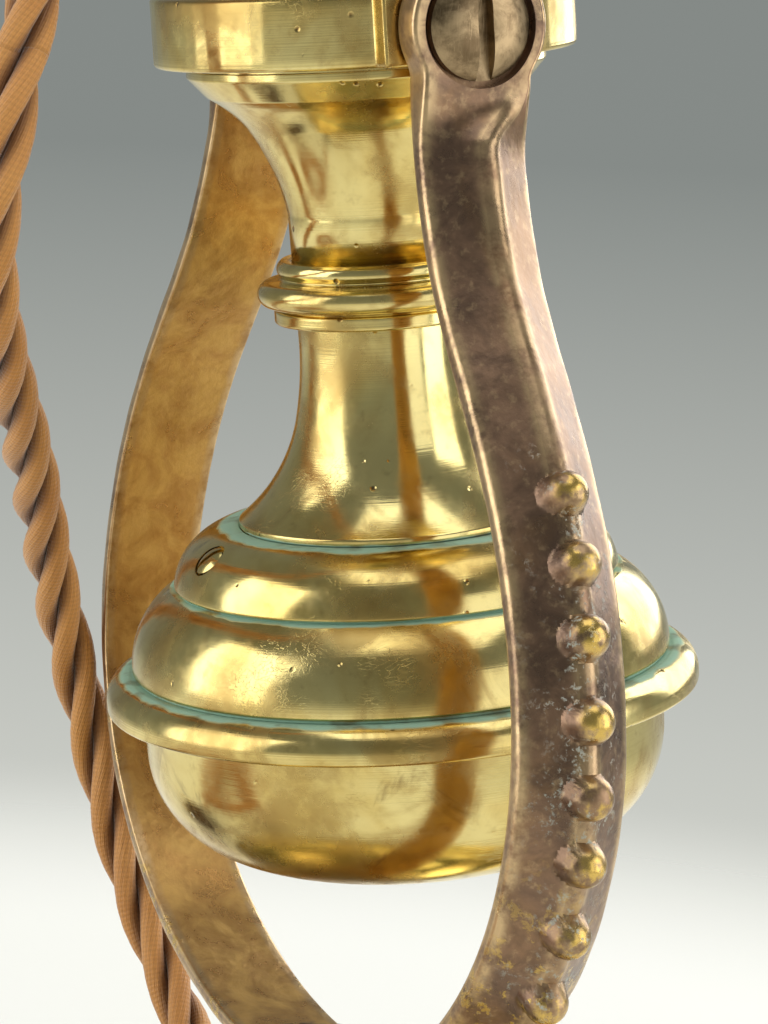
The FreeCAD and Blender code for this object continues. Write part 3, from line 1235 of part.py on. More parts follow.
faults = [item.Name for item in doc.Objects if "Invalid" in item.State or "Error" in item.State]
print("faulty objects", faults)
os.makedirs("parts", exist_ok=True)
for label, item in nodes.items():
    shape = item.Shape
    box = shape.optimalBoundingBox(False)
    print("%-18s solids %d valid %s volume %.1f x %.1f to %.1f y %.1f to %.1f z %.2f to %.1f" % (
        label, len(shape.Solids), shape.isValid() and not shape.isNull(), shape.Volume,
        box.XMin, box.XMax, box.YMin, box.YMax, box.ZMin, box.ZMax))
    shape.exportStep("parts/%s.step" % label)
print("nodes", len(nodes))
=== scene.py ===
import math

import bmesh
import bpy
import numpy as np
from mathutils import Matrix, Vector


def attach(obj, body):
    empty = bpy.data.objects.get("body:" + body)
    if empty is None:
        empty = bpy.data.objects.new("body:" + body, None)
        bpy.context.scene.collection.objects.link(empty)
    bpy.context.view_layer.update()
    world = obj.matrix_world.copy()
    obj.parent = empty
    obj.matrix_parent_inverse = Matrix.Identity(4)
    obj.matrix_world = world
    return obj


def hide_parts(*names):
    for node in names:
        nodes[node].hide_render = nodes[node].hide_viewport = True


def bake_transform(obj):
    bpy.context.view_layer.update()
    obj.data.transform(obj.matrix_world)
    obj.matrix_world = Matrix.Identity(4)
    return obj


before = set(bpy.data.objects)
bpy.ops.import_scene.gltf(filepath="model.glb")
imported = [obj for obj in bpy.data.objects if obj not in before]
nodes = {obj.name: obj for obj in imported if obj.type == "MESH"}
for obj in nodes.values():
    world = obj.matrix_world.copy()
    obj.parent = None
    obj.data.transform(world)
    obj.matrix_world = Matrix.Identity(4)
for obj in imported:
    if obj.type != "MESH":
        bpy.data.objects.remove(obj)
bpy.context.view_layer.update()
print("frame loaded:", len(nodes), "parts")

# The pivots' height over the floor, and how far the ring and the lamp lean, as in the photo.
stance = {"pivotHeight": 0.156, "lean": math.radians(6.9)}


# Millimetres about the pivots in the leaning lamp to metres over the floor: a turn about X, then a lift.
def hang(points):
    points = np.asarray(points, float)
    c, s = math.cos(stance["lean"]), math.sin(stance["lean"])
    x, y, z = points[..., 0], points[..., 1], points[..., 2]
    return np.stack([x, y * c - z * s, y * s + z * c], -1) / 1000 + np.array([0, 0, stance["pivotHeight"]])


# Millimetres about the pivots in the standing fork to metres over the floor: a lift only.
def upright(points):
    return np.asarray(points, float) / 1000 + np.array([0, 0, stance["pivotHeight"]])


# Millimetres over the floor to metres.
def grounded(points):
    return np.asarray(points, float) / 1000


# ---- camera: where the photo was taken from

cameraPlace = {
    "focalPixels": 3400.0,
    "distance": 0.3716785,
    "dip": 0.1966,
    "roll": 0.0593,
    "across": -0.0008953,
    "up": 0.0182139,
    "rimBelowPivot": 0.07141,
    "turn": 25.13,
    "tip": -6.87,
}


def makeCamera():
    place = cameraPlace
    turn, tip, dip = math.radians(place["turn"]), math.radians(place["tip"]), place["dip"]
    outward = np.array([math.cos(turn), math.sin(turn), 0])
    lamp = np.array([
        [math.sin(turn), -math.cos(turn), 0],
        outward * math.cos(tip) + np.array([0, 0, math.sin(tip)]),
        -outward * math.sin(tip) + np.array([0, 0, math.cos(tip)]),
    ])
    back = np.array([0, -math.cos(dip), math.sin(dip)])
    right = np.array([1.0, 0, 0])
    up = np.cross(back, right)
    c, s = math.cos(place["roll"]), math.sin(place["roll"])
    spot = back * place["distance"] + right * place["across"] + up * place["up"]
    spot = lamp @ (spot - np.array([0, 0, place["rimBelowPivot"]])) + np.array([0, 0,
        stance["pivotHeight"]])
    axes = np.stack([lamp @ (c * right - s * up), lamp @ (s * right + c * up), lamp @ back], 1)
    data = bpy.data.cameras.new("photoCamera")
    data.sensor_fit = "AUTO"
    data.sensor_width = 36.0
    data.lens = place["focalPixels"] / 1024 * 36.0
    data.clip_start, data.clip_end = 0.02, 50
    camera = bpy.data.objects.new("photoCamera", data)
    bpy.context.scene.collection.objects.link(camera)
    camera.matrix_world = Matrix([[*axes[row], spot[row]] for row in range(3)] + [[0, 0, 0, 1]])
    bpy.context.scene.camera = camera
    return camera


camera = makeCamera()


# ---- mesh helpers

# A mesh from whole arrays: points (n, 3) in metres and a list of face index arrays.
def meshObject(name, points, faces, uv=None, marks=None):
    mesh = bpy.data.meshes.new(name)
    mesh.vertices.add(len(points))
    mesh.vertices.foreach_set("co", np.asarray(points, np.float32).ravel())
    corners = np.concatenate([f.ravel() for f in faces])
    sizes = np.concatenate([np.full(len(f), f.shape[1]) for f in faces])
    mesh.loops.add(len(corners))
    mesh.loops.foreach_set("vertex_index", corners.astype(np.int32))
    mesh.polygons.add(len(sizes))
    mesh.polygons.foreach_set("loop_start", np.concatenate([[0], np.cumsum(sizes)[:-1]]).astype(np.int32))
    mesh.polygons.foreach_set("use_smooth", np.ones(len(sizes), bool))
    mesh.update(calc_edges=True)
    mesh.validate()
    if uv is not None:
        layer = mesh.uv_layers.new(name="strandMap")
        layer.data.foreach_set("uv", np.asarray(uv, np.float32).ravel())
    for key, values in (marks or {}).items():
        mesh.attributes.new(key, "FLOAT", "POINT").data.foreach_set("value", np.asarray(values, np.float32))
    made = bpy.data.objects.new(name, mesh)
    bpy.context.scene.collection.objects.link(made)
    return made


def turnOutwards(made):
    work = bmesh.new()
    work.from_mesh(made.data)
    bmesh.ops.recalc_face_normals(work, faces=work.faces)
    work.to_mesh(made.data)
    work.free()
    return made


# Quads over a grid of points[along, around], closed round and, if asked, along; caps close both ends.
def gridObject(name, points, closedAlong=False, caps=False, marks=None, uv=None):
    along, around = points.shape[:2]
    index = np.arange(along * around).reshape(along, around)
    rows = np.vstack([index, index[:1]]) if closedAlong else index
    rows = np.hstack([rows, rows[:, :1]])
    quads = np.stack([rows[:-1, :-1], rows[:-1, 1:], rows[1:, 1:], rows[1:, :-1]], -1).reshape(-1, 4)
    flat = points.reshape(-1, 3)
    faces = [quads]
    corners = None
    if uv is not None:
        wide = np.concatenate([uv, uv[:, :1] + np.array([0, 1.0])], 1)
        corners = np.stack([wide[:-1, :-1], wide[:-1, 1:], wide[1:, 1:], wide[1:, :-1]], -2).reshape(-1, 2)
    if caps:
        ends = np.stack([points[0].mean(0), points[-1].mean(0)])
        flat = np.concatenate([flat, ends])
        for row, centre, flip in ((index[0], along * around, 1), (index[-1], along * around + 1, -1)):
            fan = np.stack([row, np.roll(row, -1), np.full(around, centre)], -1)[:, ::flip]
            faces.append(fan)
            if corners is not None:
                corners = np.concatenate([corners, np.zeros((3 * around, 2))])
        marks = {key: np.concatenate([values.ravel(), [0, 0]]) for key, values in (marks or {}).items()}
    else:
        marks = {key: values.ravel() for key, values in (marks or {}).items()}
    return turnOutwards(meshObject(name, flat, faces, corners, marks))


# Corners (across, up, bulge, soft) in millimetres to a dense outline: straight runs, arcs whose rise is
# bulge times their chord, and every sharp corner rounded over soft on each side of it.
def softOutline(corners, soft=0.2, closed=True):
    spots = np.array([corner[:2] for corner in corners], float)
    count = len(corners)
    line, starts = [], []
    for k in range(count if closed else count - 1):
        a, b = spots[k], spots[(k + 1) % count]
        bulge = corners[k][2] if len(corners[k]) > 2 else 0
        starts.append(sum(len(part) for part in line))
        if bulge:
            chord = b - a
            along = chord / np.hypot(*chord)
            out = np.array([along[1], -along[0]]) * np.sign(bulge)
            half = 2 * math.atan(2 * abs(bulge))
            radius = np.hypot(*chord) / 2 / math.sin(half)
            turn = np.linspace(-half, half, 29)[:-1, None]
            centre = (a + b) / 2 - out * radius * math.cos(half)
            line.append(centre + radius * (np.cos(turn) * out + np.sin(turn) * along))
        else:
            line.append(a[None])
    if not closed:
        starts.append(sum(len(part) for part in line))
        line.append(spots[-1:])
    line = np.concatenate(line)
    ring = np.concatenate([line, line[:1]]) if closed else line
    run = np.concatenate([[0], np.cumsum(np.hypot(*np.diff(ring, axis=0).T))])
    total = run[-1]

    def at(where):
        where = where % total if closed else np.clip(where, 0, total)
        return np.stack([np.interp(where, run, ring[:, 0]), np.interp(where, run, ring[:, 1])], -1)

    where = list(run[:-1] if closed else run)
    keep = np.array(where)
    extra, spotsMade = [], []
    inner = range(count) if closed else range(1, count - 1)
    for k in inner:
        here = run[starts[k]]
        before, after = at(np.array([here - 0.01, here + 0.01]))
        corner = ring[starts[k]]
        one, two = corner - before, after - corner
        turn = abs(math.atan2(one[0] * two[1] - one[1] * two[0], one @ two))
        if turn < math.radians(9):
            continue
        wanted = corners[k][3] if len(corners[k]) > 3 else soft
        gaps = [abs(run[starts[j % count]] - here) if 0 <= j < count else total for j in (k - 1, k + 1)]
        gaps = [gap for gap in gaps if gap > 1e-9]
        reach = min([wanted] + [0.42 * min(gap, total - gap if closed else gap) for gap in gaps])
        apart = abs(keep - here)
        apart = np.minimum(apart, total - apart) if closed else apart
        keep = keep[apart > 2.1 * reach]
        start, finish = at(np.array([here - reach, here + reach]))
        t = np.linspace(0, 1, 6)[:, None]
        bow = (1 - t) ** 2 * start + 2 * t * (1 - t) * corner + t ** 2 * finish
        extra += list(here + reach * np.linspace(-1, 1, 6))
        spotsMade += list(bow)
        for side in (-1.9, 1.9):
            extra.append(here + side * reach)
            spotsMade.append(at(np.array([here + side * reach]))[0])
    runs = np.concatenate([keep, np.array(extra)]) if extra else keep
    points = np.concatenate([at(keep), np.array(spotsMade)]) if extra else at(keep)
    order = np.argsort(runs % total if closed else runs, kind="stable")
    points = points[order]
    apart = np.hypot(*(points - np.roll(points, 1, 0)).T)
    return points[apart > 1e-4] if closed else points[np.concatenate([[True], apart[1:] > 1e-4])]


# A turned shell: the closed outline (radius, height) carried round the axis, radius * (cos, sin).
def turned(name, corners, place=hang, soft=0.2, steps=200):
    outline = softOutline(corners, soft)
    angle = np.linspace(0, 2 * math.pi, steps, endpoint=False)
    radius = outline[:, :1]
    shape = np.stack([radius * np.cos(angle), radius * np.sin(angle), np.repeat(outline[:, 1:], steps, 1)],
                     -1)
    return gridObject(name, place(shape), closedAlong=True)


# A solid turned about its own axis from the outline (radius, height), set at spot with its height along
# axis.
def plugTool(name, corners, spot, axis, place, steps=64):
    outline = np.array(corners, float)
    angle = np.linspace(0, 2 * math.pi, steps, endpoint=False)
    up = np.array(axis, float) / np.linalg.norm(axis)
    side = np.cross(up, [0.3, 0.9, 0.2])
    side /= np.linalg.norm(side)
    ahead = np.cross(up, side)
    wheel = np.cos(angle)[:, None] * side + np.sin(angle)[:, None] * ahead
    shape = np.array(spot, float) + outline[:, :1, None] * wheel + outline[:, 1:, None] * up
    return gridObject(name, place(shape), caps=True)


def carve(made, tools, operation="DIFFERENCE", sharp=32):
    for tool in tools:
        step = made.modifiers.new("carve", "BOOLEAN")
        step.object, step.operation, step.solver = tool, operation, "MANIFOLD"
    bpy.context.view_layer.update()
    done = bpy.data.meshes.new_from_object(made.evaluated_get(bpy.context.evaluated_depsgraph_get()))
    made.modifiers.clear()
    old = made.data
    made.data = done
    bpy.data.meshes.remove(old)
    for tool in tools:
        bpy.data.meshes.remove(tool.data)
    done.set_sharp_from_angle(angle=math.radians(sharp))
    return made


# Cubic spline through the points with the given end directions, its knots a chord apart.
def smoothLine(points, first, last, count):
    points = np.asarray(points, float)
    chord = np.linalg.norm(np.diff(points, axis=0), axis=1)
    knots = np.concatenate([[0], np.cumsum(chord)])
    size = len(points)
    system, right = np.eye(size), np.zeros(points.shape)
    right[0], right[-1] = first, last
    for i in range(1, size - 1):
        system[i, i - 1:i + 2] = chord[i], 2 * (chord[i - 1] + chord[i]), chord[i - 1]
        right[i] = 3 * (chord[i] * (points[i] - points[i - 1]) / chord[i - 1]
                        + chord[i - 1] * (points[i + 1] - points[i]) / chord[i])
    slope = np.linalg.solve(system, right)
    t = np.linspace(0, knots[-1], count)
    i = np.clip(np.searchsorted(knots, t, side="right") - 1, 0, size - 2)
    h, u = chord[i][:, None], ((t - knots[i]) / chord[i])[:, None]
    return ((2 * u ** 3 - 3 * u ** 2 + 1) * points[i] + (u ** 3 - 2 * u ** 2 + u) * h * slope[i]
            + (3 * u ** 2 - 2 * u ** 3) * points[i + 1] + (u ** 3 - u ** 2) * h * slope[i + 1])


def stepped(value, low, high):
    t = np.clip((value - low) / (high - low), 0, 1)
    return t * t * (3 - 2 * t)


# ---- shader helpers

def node(tree, kind, inputs=None, **settings):
    made = tree.nodes.new("ShaderNode" + kind)
    for key, value in settings.items():
        setattr(made, key, value)
    for key, value in (inputs or {}).items():
        if isinstance(value, bpy.types.NodeSocket):
            tree.links.new(value, made.inputs[key])
        else:
            made.inputs[key].default_value = value
    return made


def calc(tree, operation, a, b=0.0, clamp=False):
    return node(tree, "Math", {0: a, 1: b}, operation=operation, use_clamp=clamp).outputs[0]


def cloud(tree, vector, scale, detail=3.0, roughness=0.55, distortion=0.0):
    inputs = {"Vector": vector, "Scale": scale, "Detail": detail, "Roughness": roughness,
              "Distortion": distortion}
    return node(tree, "TexNoise", inputs).outputs[0]


def graded(tree, value, low, high, lowOut=0.0, highOut=1.0, kind="SMOOTHSTEP"):
    inputs = {"Value": value, "From Min": low, "From Max": high, "To Min": lowOut, "To Max": highOut}
    return node(tree, "MapRange", inputs, interpolation_type=kind).outputs[0]


def blended(tree, factor, a, b, mode="MIX"):
    return node(tree, "Mix", {0: factor, 6: a, 7: b}, data_type="RGBA", blend_type=mode).outputs[2]


def mark(tree, name):
    return node(tree, "Attribute", attribute_name=name).outputs["Fac"]


def placed(tree, spot=(0, 0, 0), turn=(0, 0, 0), scale=(1, 1, 1), kind="TEXTURE", source="Object"):
    coords = node(tree, "TexCoord").outputs[source]
    return node(tree, "Mapping", {"Vector": coords, "Location": spot, "Rotation": turn, "Scale": scale},
                vector_type=kind).outputs[0]


def stretched(tree, vector, scale, turn=(0, 0, 0)):
    return node(tree, "Mapping", {"Vector": vector, "Rotation": turn, "Scale": scale},
                vector_type="POINT").outputs[0]


def bumped(tree, height, strength, distance, normal=None):
    inputs = {"Height": height, "Strength": strength, "Distance": distance}
    if normal is not None:
        inputs["Normal"] = normal
    return node(tree, "Bump", inputs).outputs[0]


def newMaterial(name):
    material = bpy.data.materials.new(name)
    material.use_nodes = True
    tree = material.node_tree
    tree.nodes.clear()
    shader = node(tree, "BsdfPrincipled")
    out = node(tree, "OutputMaterial", {0: shader.outputs[0]})
    return material, tree, shader, out


def feed(tree, shader, **sockets):
    for key, value in sockets.items():
        name = key.replace("_", " ")
        if isinstance(value, bpy.types.NodeSocket):
            tree.links.new(value, shader.inputs[name])
        else:
            shader.inputs[name].default_value = value


# Screen values from 0 to 255 to the linear colour that Blender works in.
def colour(red, green, blue):
    screen = np.array([red, green, blue]) / 255
    linear = np.where(screen <= 0.04045, screen / 12.92, ((screen + 0.055) / 1.055) ** 2.4)
    return (*linear.tolist(), 1.0)


# ---- brass, bronze and the other finishes

brassLook = {
    "bright": colour(232, 214, 146),
    "deep": colour(212, 184, 108),
    "tarnish": colour(160, 128, 74),
    "stain": colour(108, 78, 46),
    "verdigris": colour(142, 176, 154),
    "grime": colour(96, 92, 62),
    "roughness": 0.13,
    "tarnished": 1.0,
    "grooves": [],
}


def brassFinish(name, **changes):
    look = {**brassLook, **changes}
    material, tree, shader, out = newMaterial(name)
    place = placed(tree, (0, 0, stance["pivotHeight"]), (stance["lean"], 0, 0))
    parts = node(tree, "SeparateXYZ", {0: place}).outputs
    radius = calc(tree, "SQRT", calc(tree, "ADD", calc(tree, "MULTIPLY", parts[0], parts[0]),
                                     calc(tree, "MULTIPLY", parts[1], parts[1])))
    broad = cloud(tree, place, 48, 4, 0.6, 0.4)
    patch = cloud(tree, place, 120, 6, 0.62, 0.6)
    fleck = cloud(tree, place, 620, 5, 0.6)
    tarnish = calc(tree, "MULTIPLY", graded(tree, calc(tree, "ADD", calc(tree, "MULTIPLY", patch, 0.6),
                                                       calc(tree, "MULTIPLY", broad, 0.5)), 0.5, 0.66),
                   look["tarnished"])
    stain = calc(tree, "MULTIPLY", graded(tree, cloud(tree, stretched(tree, place, (1, 1, 0.45)), 95, 5,
                                                      0.65, 1.1), 0.6, 0.72), look["tarnished"])
    metal = blended(tree, graded(tree, broad, 0.35, 0.65), look["bright"], look["deep"])
    metal = blended(tree, calc(tree, "MULTIPLY", tarnish, 0.55), metal, look["tarnish"])
    metal = blended(tree, calc(tree, "MULTIPLY", stain, 0.5), metal, look["stain"])
    metal = blended(tree, calc(tree, "MULTIPLY", graded(tree, fleck, 0.55, 0.75), 0.3), metal,
                    look["tarnish"])
    # spots: small dark pits, few and far between
    pits = node(tree, "TexVoronoi", {"Vector": place, "Scale": 420.0,
                                     "Randomness": 1.0}).outputs["Distance"]
    pits = calc(tree, "MULTIPLY", graded(tree, pits, 0.06, 0.16, 1, 0), graded(tree, cloud(tree, place, 150,
        2), 0.56, 0.62))
    metal = blended(tree, calc(tree, "MULTIPLY", pits, 0.8), metal, look["stain"])
    green = None
    for height, width in look["grooves"]:
        near = calc(tree, "ABSOLUTE", calc(tree, "SUBTRACT", parts[2], height))
        edge = calc(tree, "MULTIPLY", graded(tree, cloud(tree, place, 130, 3), 0.3, 0.7, 0.3, 1.5), width)
        band = graded(tree, near, calc(tree, "MULTIPLY", edge, 0.5), calc(tree, "ADD", edge, 0.00008), 1, 0)
        green = band if green is None else calc(tree, "MAXIMUM", green, band)
    rough = graded(tree, tarnish, 0, 1, look["roughness"], look["roughness"] + 0.16, "LINEAR")
    rough = calc(tree, "ADD", rough, graded(tree, cloud(tree, place, 260, 5, 0.7), 0.4, 0.75, 0, 0.12))
    if green is not None:
        dim = graded(tree, cloud(tree, place, 260, 3), 0.3, 0.5, 0.35, 1)
        crust = blended(tree, dim, look["grime"], look["verdigris"])
        metal = blended(tree, green, metal, crust)
        rough = calc(tree, "ADD", rough, calc(tree, "MULTIPLY", green, 0.5), clamp=True)
        feed(tree, shader, Metallic=calc(tree, "SUBTRACT", 1, calc(tree, "MULTIPLY", green, 0.85)))
    else:
        shader.inputs["Metallic"].default_value = 1.0
    # fine turning lines round the axis and short hair scratches across them
    rings = node(tree, "CombineXYZ", {0: calc(tree, "MULTIPLY", radius, 5200),
                                      1: calc(tree, "MULTIPLY", parts[2], 5200)}).outputs[0]
    lines = cloud(tree, rings, 1.0, 2)
    hairs = None
    for turn in ((0.5, 0.3, 0.9), (1.9, 0.8, 0.2)):
        hair = cloud(tree, stretched(tree, place, (1600, 60, 1600), turn), 1.0, 1, 0.4)
        thin = graded(tree, calc(tree, "ABSOLUTE", calc(tree, "SUBTRACT", hair, 0.5)), 0.0, 0.012, 1, 0)
        hairs = thin if hairs is None else calc(tree, "MAXIMUM", hairs, thin)
    hairs = calc(tree, "MULTIPLY", hairs, graded(tree, cloud(tree, place, 90, 2), 0.56, 0.7, 0, 0.5))
    rough = calc(tree, "ADD", rough, calc(tree, "MULTIPLY", hairs, 0.12), clamp=True)
    normal = bumped(tree, lines, 0.05, 0.0002)
    normal = bumped(tree, cloud(tree, place, 70, 2), 0.12, 0.0012, normal)
    normal = bumped(tree, calc(tree, "ADD", calc(tree, "MULTIPLY", pits, -1.5),
                               calc(tree, "MULTIPLY", hairs, -0.25)), 0.35, 0.0003, normal)
    feed(tree, shader, Base_Color=metal, Roughness=rough, Normal=normal)
    return material


bronzeLook = {
    "brown": colour(142, 112, 88),
    "dark": colour(104, 82, 66),
    "worn": colour(206, 176, 132),
    "gold": colour(220, 184, 92),
    "ochre": colour(214, 172, 98),
    "ochreDark": colour(184, 138, 76),
    "dust": colour(176, 184, 172),
}


def bronzeFinish(name):
    look = bronzeLook
    material, tree, shader, out = newMaterial(name)
    place = placed(tree, (0, 0, stance["pivotHeight"]))
    parts = node(tree, "SeparateXYZ", {0: place}).outputs
    broad = cloud(tree, place, 42, 5, 0.62, 0.5)
    patch = cloud(tree, place, 190, 6, 0.66, 0.5)
    grain = cloud(tree, place, 900, 4, 0.6)
    skin = blended(tree, graded(tree, patch, 0.36, 0.66), look["dark"], look["brown"])
    skin = blended(tree, graded(tree, broad, 0.48, 0.68, 0, 0.3), skin, look["ochreDark"])
    skin = blended(tree, graded(tree, grain, 0.52, 0.72, 0, 0.3), skin, look["worn"])
    inner = blended(tree, graded(tree, patch, 0.34, 0.68), look["ochreDark"], look["ochre"])
    skin = blended(tree, mark(tree, "innerFace"), skin, inner)
    rub = calc(tree, "MULTIPLY", mark(tree, "edgeWear"), graded(tree, cloud(tree, place, 260, 4, 0.7), 0.32,
                                                                0.6))
    skin = blended(tree, rub, skin, look["worn"])
    low = graded(tree, parts[2], -0.105, -0.07, 1, 0)
    outside = calc(tree, "SUBTRACT", 1, mark(tree, "innerFace"))
    goldSpots = calc(tree, "MULTIPLY", graded(tree, cloud(tree, place, 420, 6, 0.76, 0.3), 0.54, 0.6),
                     calc(tree, "MULTIPLY", low, outside))
    # gold caps on the bead tops: partly rubbed metal, partly a painted highlight on the domes
    beadCapRubAndGlint = calc(tree, "MULTIPLY", mark(tree, "beadTopRubAndGlint"), graded(tree, cloud(tree, place, 520, 4, 0.65),
                                                                   0.42, 0.6, 0.05, 0.85))
    goldRubAndGlint = calc(tree, "MAXIMUM", calc(tree, "MULTIPLY", goldSpots, 0.85), beadCapRubAndGlint)
    skin = blended(tree, goldRubAndGlint, skin, look["gold"])
    specks = graded(tree, cloud(tree, place, 1150, 5, 0.75), 0.55, 0.62)
    specks = calc(tree, "MULTIPLY", specks, calc(tree, "MULTIPLY", mark(tree, "beadFoot"),
                                                 graded(tree, cloud(tree, place, 210, 3), 0.42, 0.6)))
    skin = blended(tree, calc(tree, "MULTIPLY", specks, 0.8), skin, look["dust"])
    metallic = calc(tree, "SUBTRACT", graded(tree, calc(tree, "MAXIMUM", goldRubAndGlint, rub), 0, 1, 0.8, 0.98,
                                             "LINEAR"), calc(tree, "MULTIPLY", specks, 0.6), clamp=True)
    rough = calc(tree, "ADD", graded(tree, patch, 0.35, 0.7, 0.27, 0.38),
                 calc(tree, "MULTIPLY", specks, 0.3))
    rough = calc(tree, "SUBTRACT", rough, calc(tree, "MULTIPLY", goldRubAndGlint, 0.08), clamp=True)
    normal = bumped(tree, cloud(tree, place, 1300, 4, 0.6), 0.16, 0.0002)
    normal = bumped(tree, cloud(tree, place, 130, 3), 0.25, 0.0008, normal)
    normal = bumped(tree, calc(tree, "ADD", specks, goldSpots), 0.25, 0.00012, normal)
    feed(tree, shader, Base_Color=skin, Roughness=rough, Normal=normal, Metallic=metallic, Coat_Weight=0.12,
         Coat_Roughness=0.3)
    return material


def steelFinish(name, bright, dark, roughness=0.28):
    material, tree, shader, out = newMaterial(name)
    place = placed(tree)
    patch = cloud(tree, place, 380, 6, 0.65, 0.4)
    metal = blended(tree, graded(tree, patch, 0.35, 0.66), dark, bright)
    hair = cloud(tree, stretched(tree, place, (2600, 2600, 90), (0.4, 0.2, 0.3)), 1.0, 1)
    thin = graded(tree, calc(tree, "ABSOLUTE", calc(tree, "SUBTRACT", hair, 0.5)), 0.0, 0.02, 1, 0)
    metal = blended(tree, calc(tree, "MULTIPLY", thin, 0.35), metal, bright)
    rough = graded(tree, patch, 0.3, 0.7, roughness, roughness + 0.16)
    normal = bumped(tree, calc(tree, "ADD", patch, calc(tree, "MULTIPLY", thin, -0.4)), 0.15, 0.0003)
    feed(tree, shader, Base_Color=metal, Roughness=rough, Normal=normal, Metallic=1.0)
    return material


# Braided silk from the strand's own map: u is millimetres along, v is turns round.
def silkFinish(name):
    material, tree, shader, out = newMaterial(name)
    uv = node(tree, "UVMap", uv_map="strandMap").outputs[0]
    parts = node(tree, "SeparateXYZ", {0: uv}).outputs
    across = calc(tree, "MULTIPLY", parts[1], 16 * 2 * math.pi)
    along = calc(tree, "MULTIPLY", parts[0], 2 * math.pi / 1.1)
    one = calc(tree, "SINE", calc(tree, "ADD", across, along))
    two = calc(tree, "SINE", calc(tree, "SUBTRACT", across, along))
    braid = calc(tree, "MULTIPLY", one, two)
    rib = calc(tree, "SINE", calc(tree, "ADD", calc(tree, "MULTIPLY", across, 1.0),
                                  calc(tree, "MULTIPLY", along, 0.22)))
    weave = calc(tree, "ADD", calc(tree, "MULTIPLY", rib, 0.35), calc(tree, "MULTIPLY", braid, 0.65))
    place = placed(tree)
    broad = cloud(tree, place, 60, 3)
    fibre = cloud(tree, stretched(tree, uv, (9.0, 120.0, 1.0)), 1.0, 3, 0.6)
    thread = blended(tree, graded(tree, broad, 0.35, 0.65), colour(214, 152, 76), colour(196, 132, 62))
    # painted shade: the braid's low points, where the weave height is least, darken towards a deep brown
    thread = blended(tree, graded(tree, weave, -1, 1, 0.4, 0), thread, colour(128, 78, 36))
    thread = blended(tree, graded(tree, fibre, 0.4, 0.7, 0, 0.35), thread, colour(232, 178, 102))
    # the strand's side towards the cord's middle, v from 0.3 to 0.7, lies in the valley and gets painted
    # shade there, a darker brown
    paintedValleyShade = calc(tree, "ABSOLUTE", calc(tree, "SUBTRACT", calc(tree, "FRACT", parts[1]), 0.5))
    thread = blended(tree, graded(tree, paintedValleyShade, 0.18, 0.36, 0.8, 0), thread, colour(92, 54, 28))
    normal = bumped(tree, calc(tree, "ADD", weave, calc(tree, "MULTIPLY", fibre, 0.5)), 0.45, 0.00014)
    feed(tree, shader, Base_Color=thread, Roughness=0.55, Normal=normal, Sheen_Weight=0.35,
         Sheen_Roughness=0.4)
    return material


def plainFinish(name, one, two, scale, roughness, bump=0.15, metallic=0.0, coat=0.0):
    material, tree, shader, out = newMaterial(name)
    place = placed(tree)
    patch = cloud(tree, place, scale, 5, 0.62, 0.3)
    grain = cloud(tree, place, scale * 7, 3)
    skin = blended(tree, graded(tree, patch, 0.35, 0.67), one, two)
    rough = graded(tree, grain, 0.3, 0.7, roughness, min(1.0, roughness + 0.12))
    normal = bumped(tree, grain, bump, 0.0003)
    feed(tree, shader, Base_Color=skin, Roughness=rough, Normal=normal, Metallic=metallic, Coat_Weight=coat)
    return material


def glassFinish(name):
    material, tree, shader, out = newMaterial(name)
    place = placed(tree)
    dust = cloud(tree, place, 300, 4, 0.6)
    feed(tree, shader, Base_Color=blended(tree, graded(tree, dust, 0.4, 0.7), (0.97, 0.98, 0.97, 1),
                                          (0.9, 0.9, 0.86, 1)),
         Roughness=graded(tree, dust, 0.45, 0.75, 0.01, 0.08), Transmission_Weight=1.0, IOR=1.46)
    return material


bodyGrooves = [(-0.0532, 0.0002), (-0.0596, 0.00022), (-0.0687, 0.00024)]
finish = {
    "bodyBrass": brassFinish("bodyBrass", grooves=bodyGrooves),
    "ringBrass": brassFinish("ringBrass"),
    "partBrass": brassFinish("partBrass"),
    "cleanBrass": brassFinish("cleanBrass", tarnished=0.35, roughness=0.14, bright=colour(234, 206, 128)),
    "bronze": bronzeFinish("bronze"),
    "darkSteel": steelFinish("darkSteel", colour(176, 152, 116), colour(118, 98, 72)),
    "steel": steelFinish("steel", colour(190, 190, 186), colour(128, 128, 124)),
    "silk": silkFinish("silk"),
    "iron": plainFinish("iron", colour(70, 68, 66), colour(104, 100, 94), 240, 0.55, 0.5, 0.8),
    "felt": plainFinish("felt", colour(44, 74, 52), colour(62, 96, 68), 900, 0.9, 0.8),
    "ceramic": plainFinish("ceramic", colour(232, 228, 218), colour(220, 214, 200), 130, 0.18, 0.05),
    "bakelite": plainFinish("bakelite", colour(52, 30, 22), colour(78, 44, 28), 160, 0.2, 0.06, 0.0, 0.3),
    "rubber": plainFinish("rubber", colour(46, 42, 38), colour(58, 54, 48), 500, 0.6, 0.2),
    "glass": glassFinish("glass"),
}
print("finishes made:", len(finish))

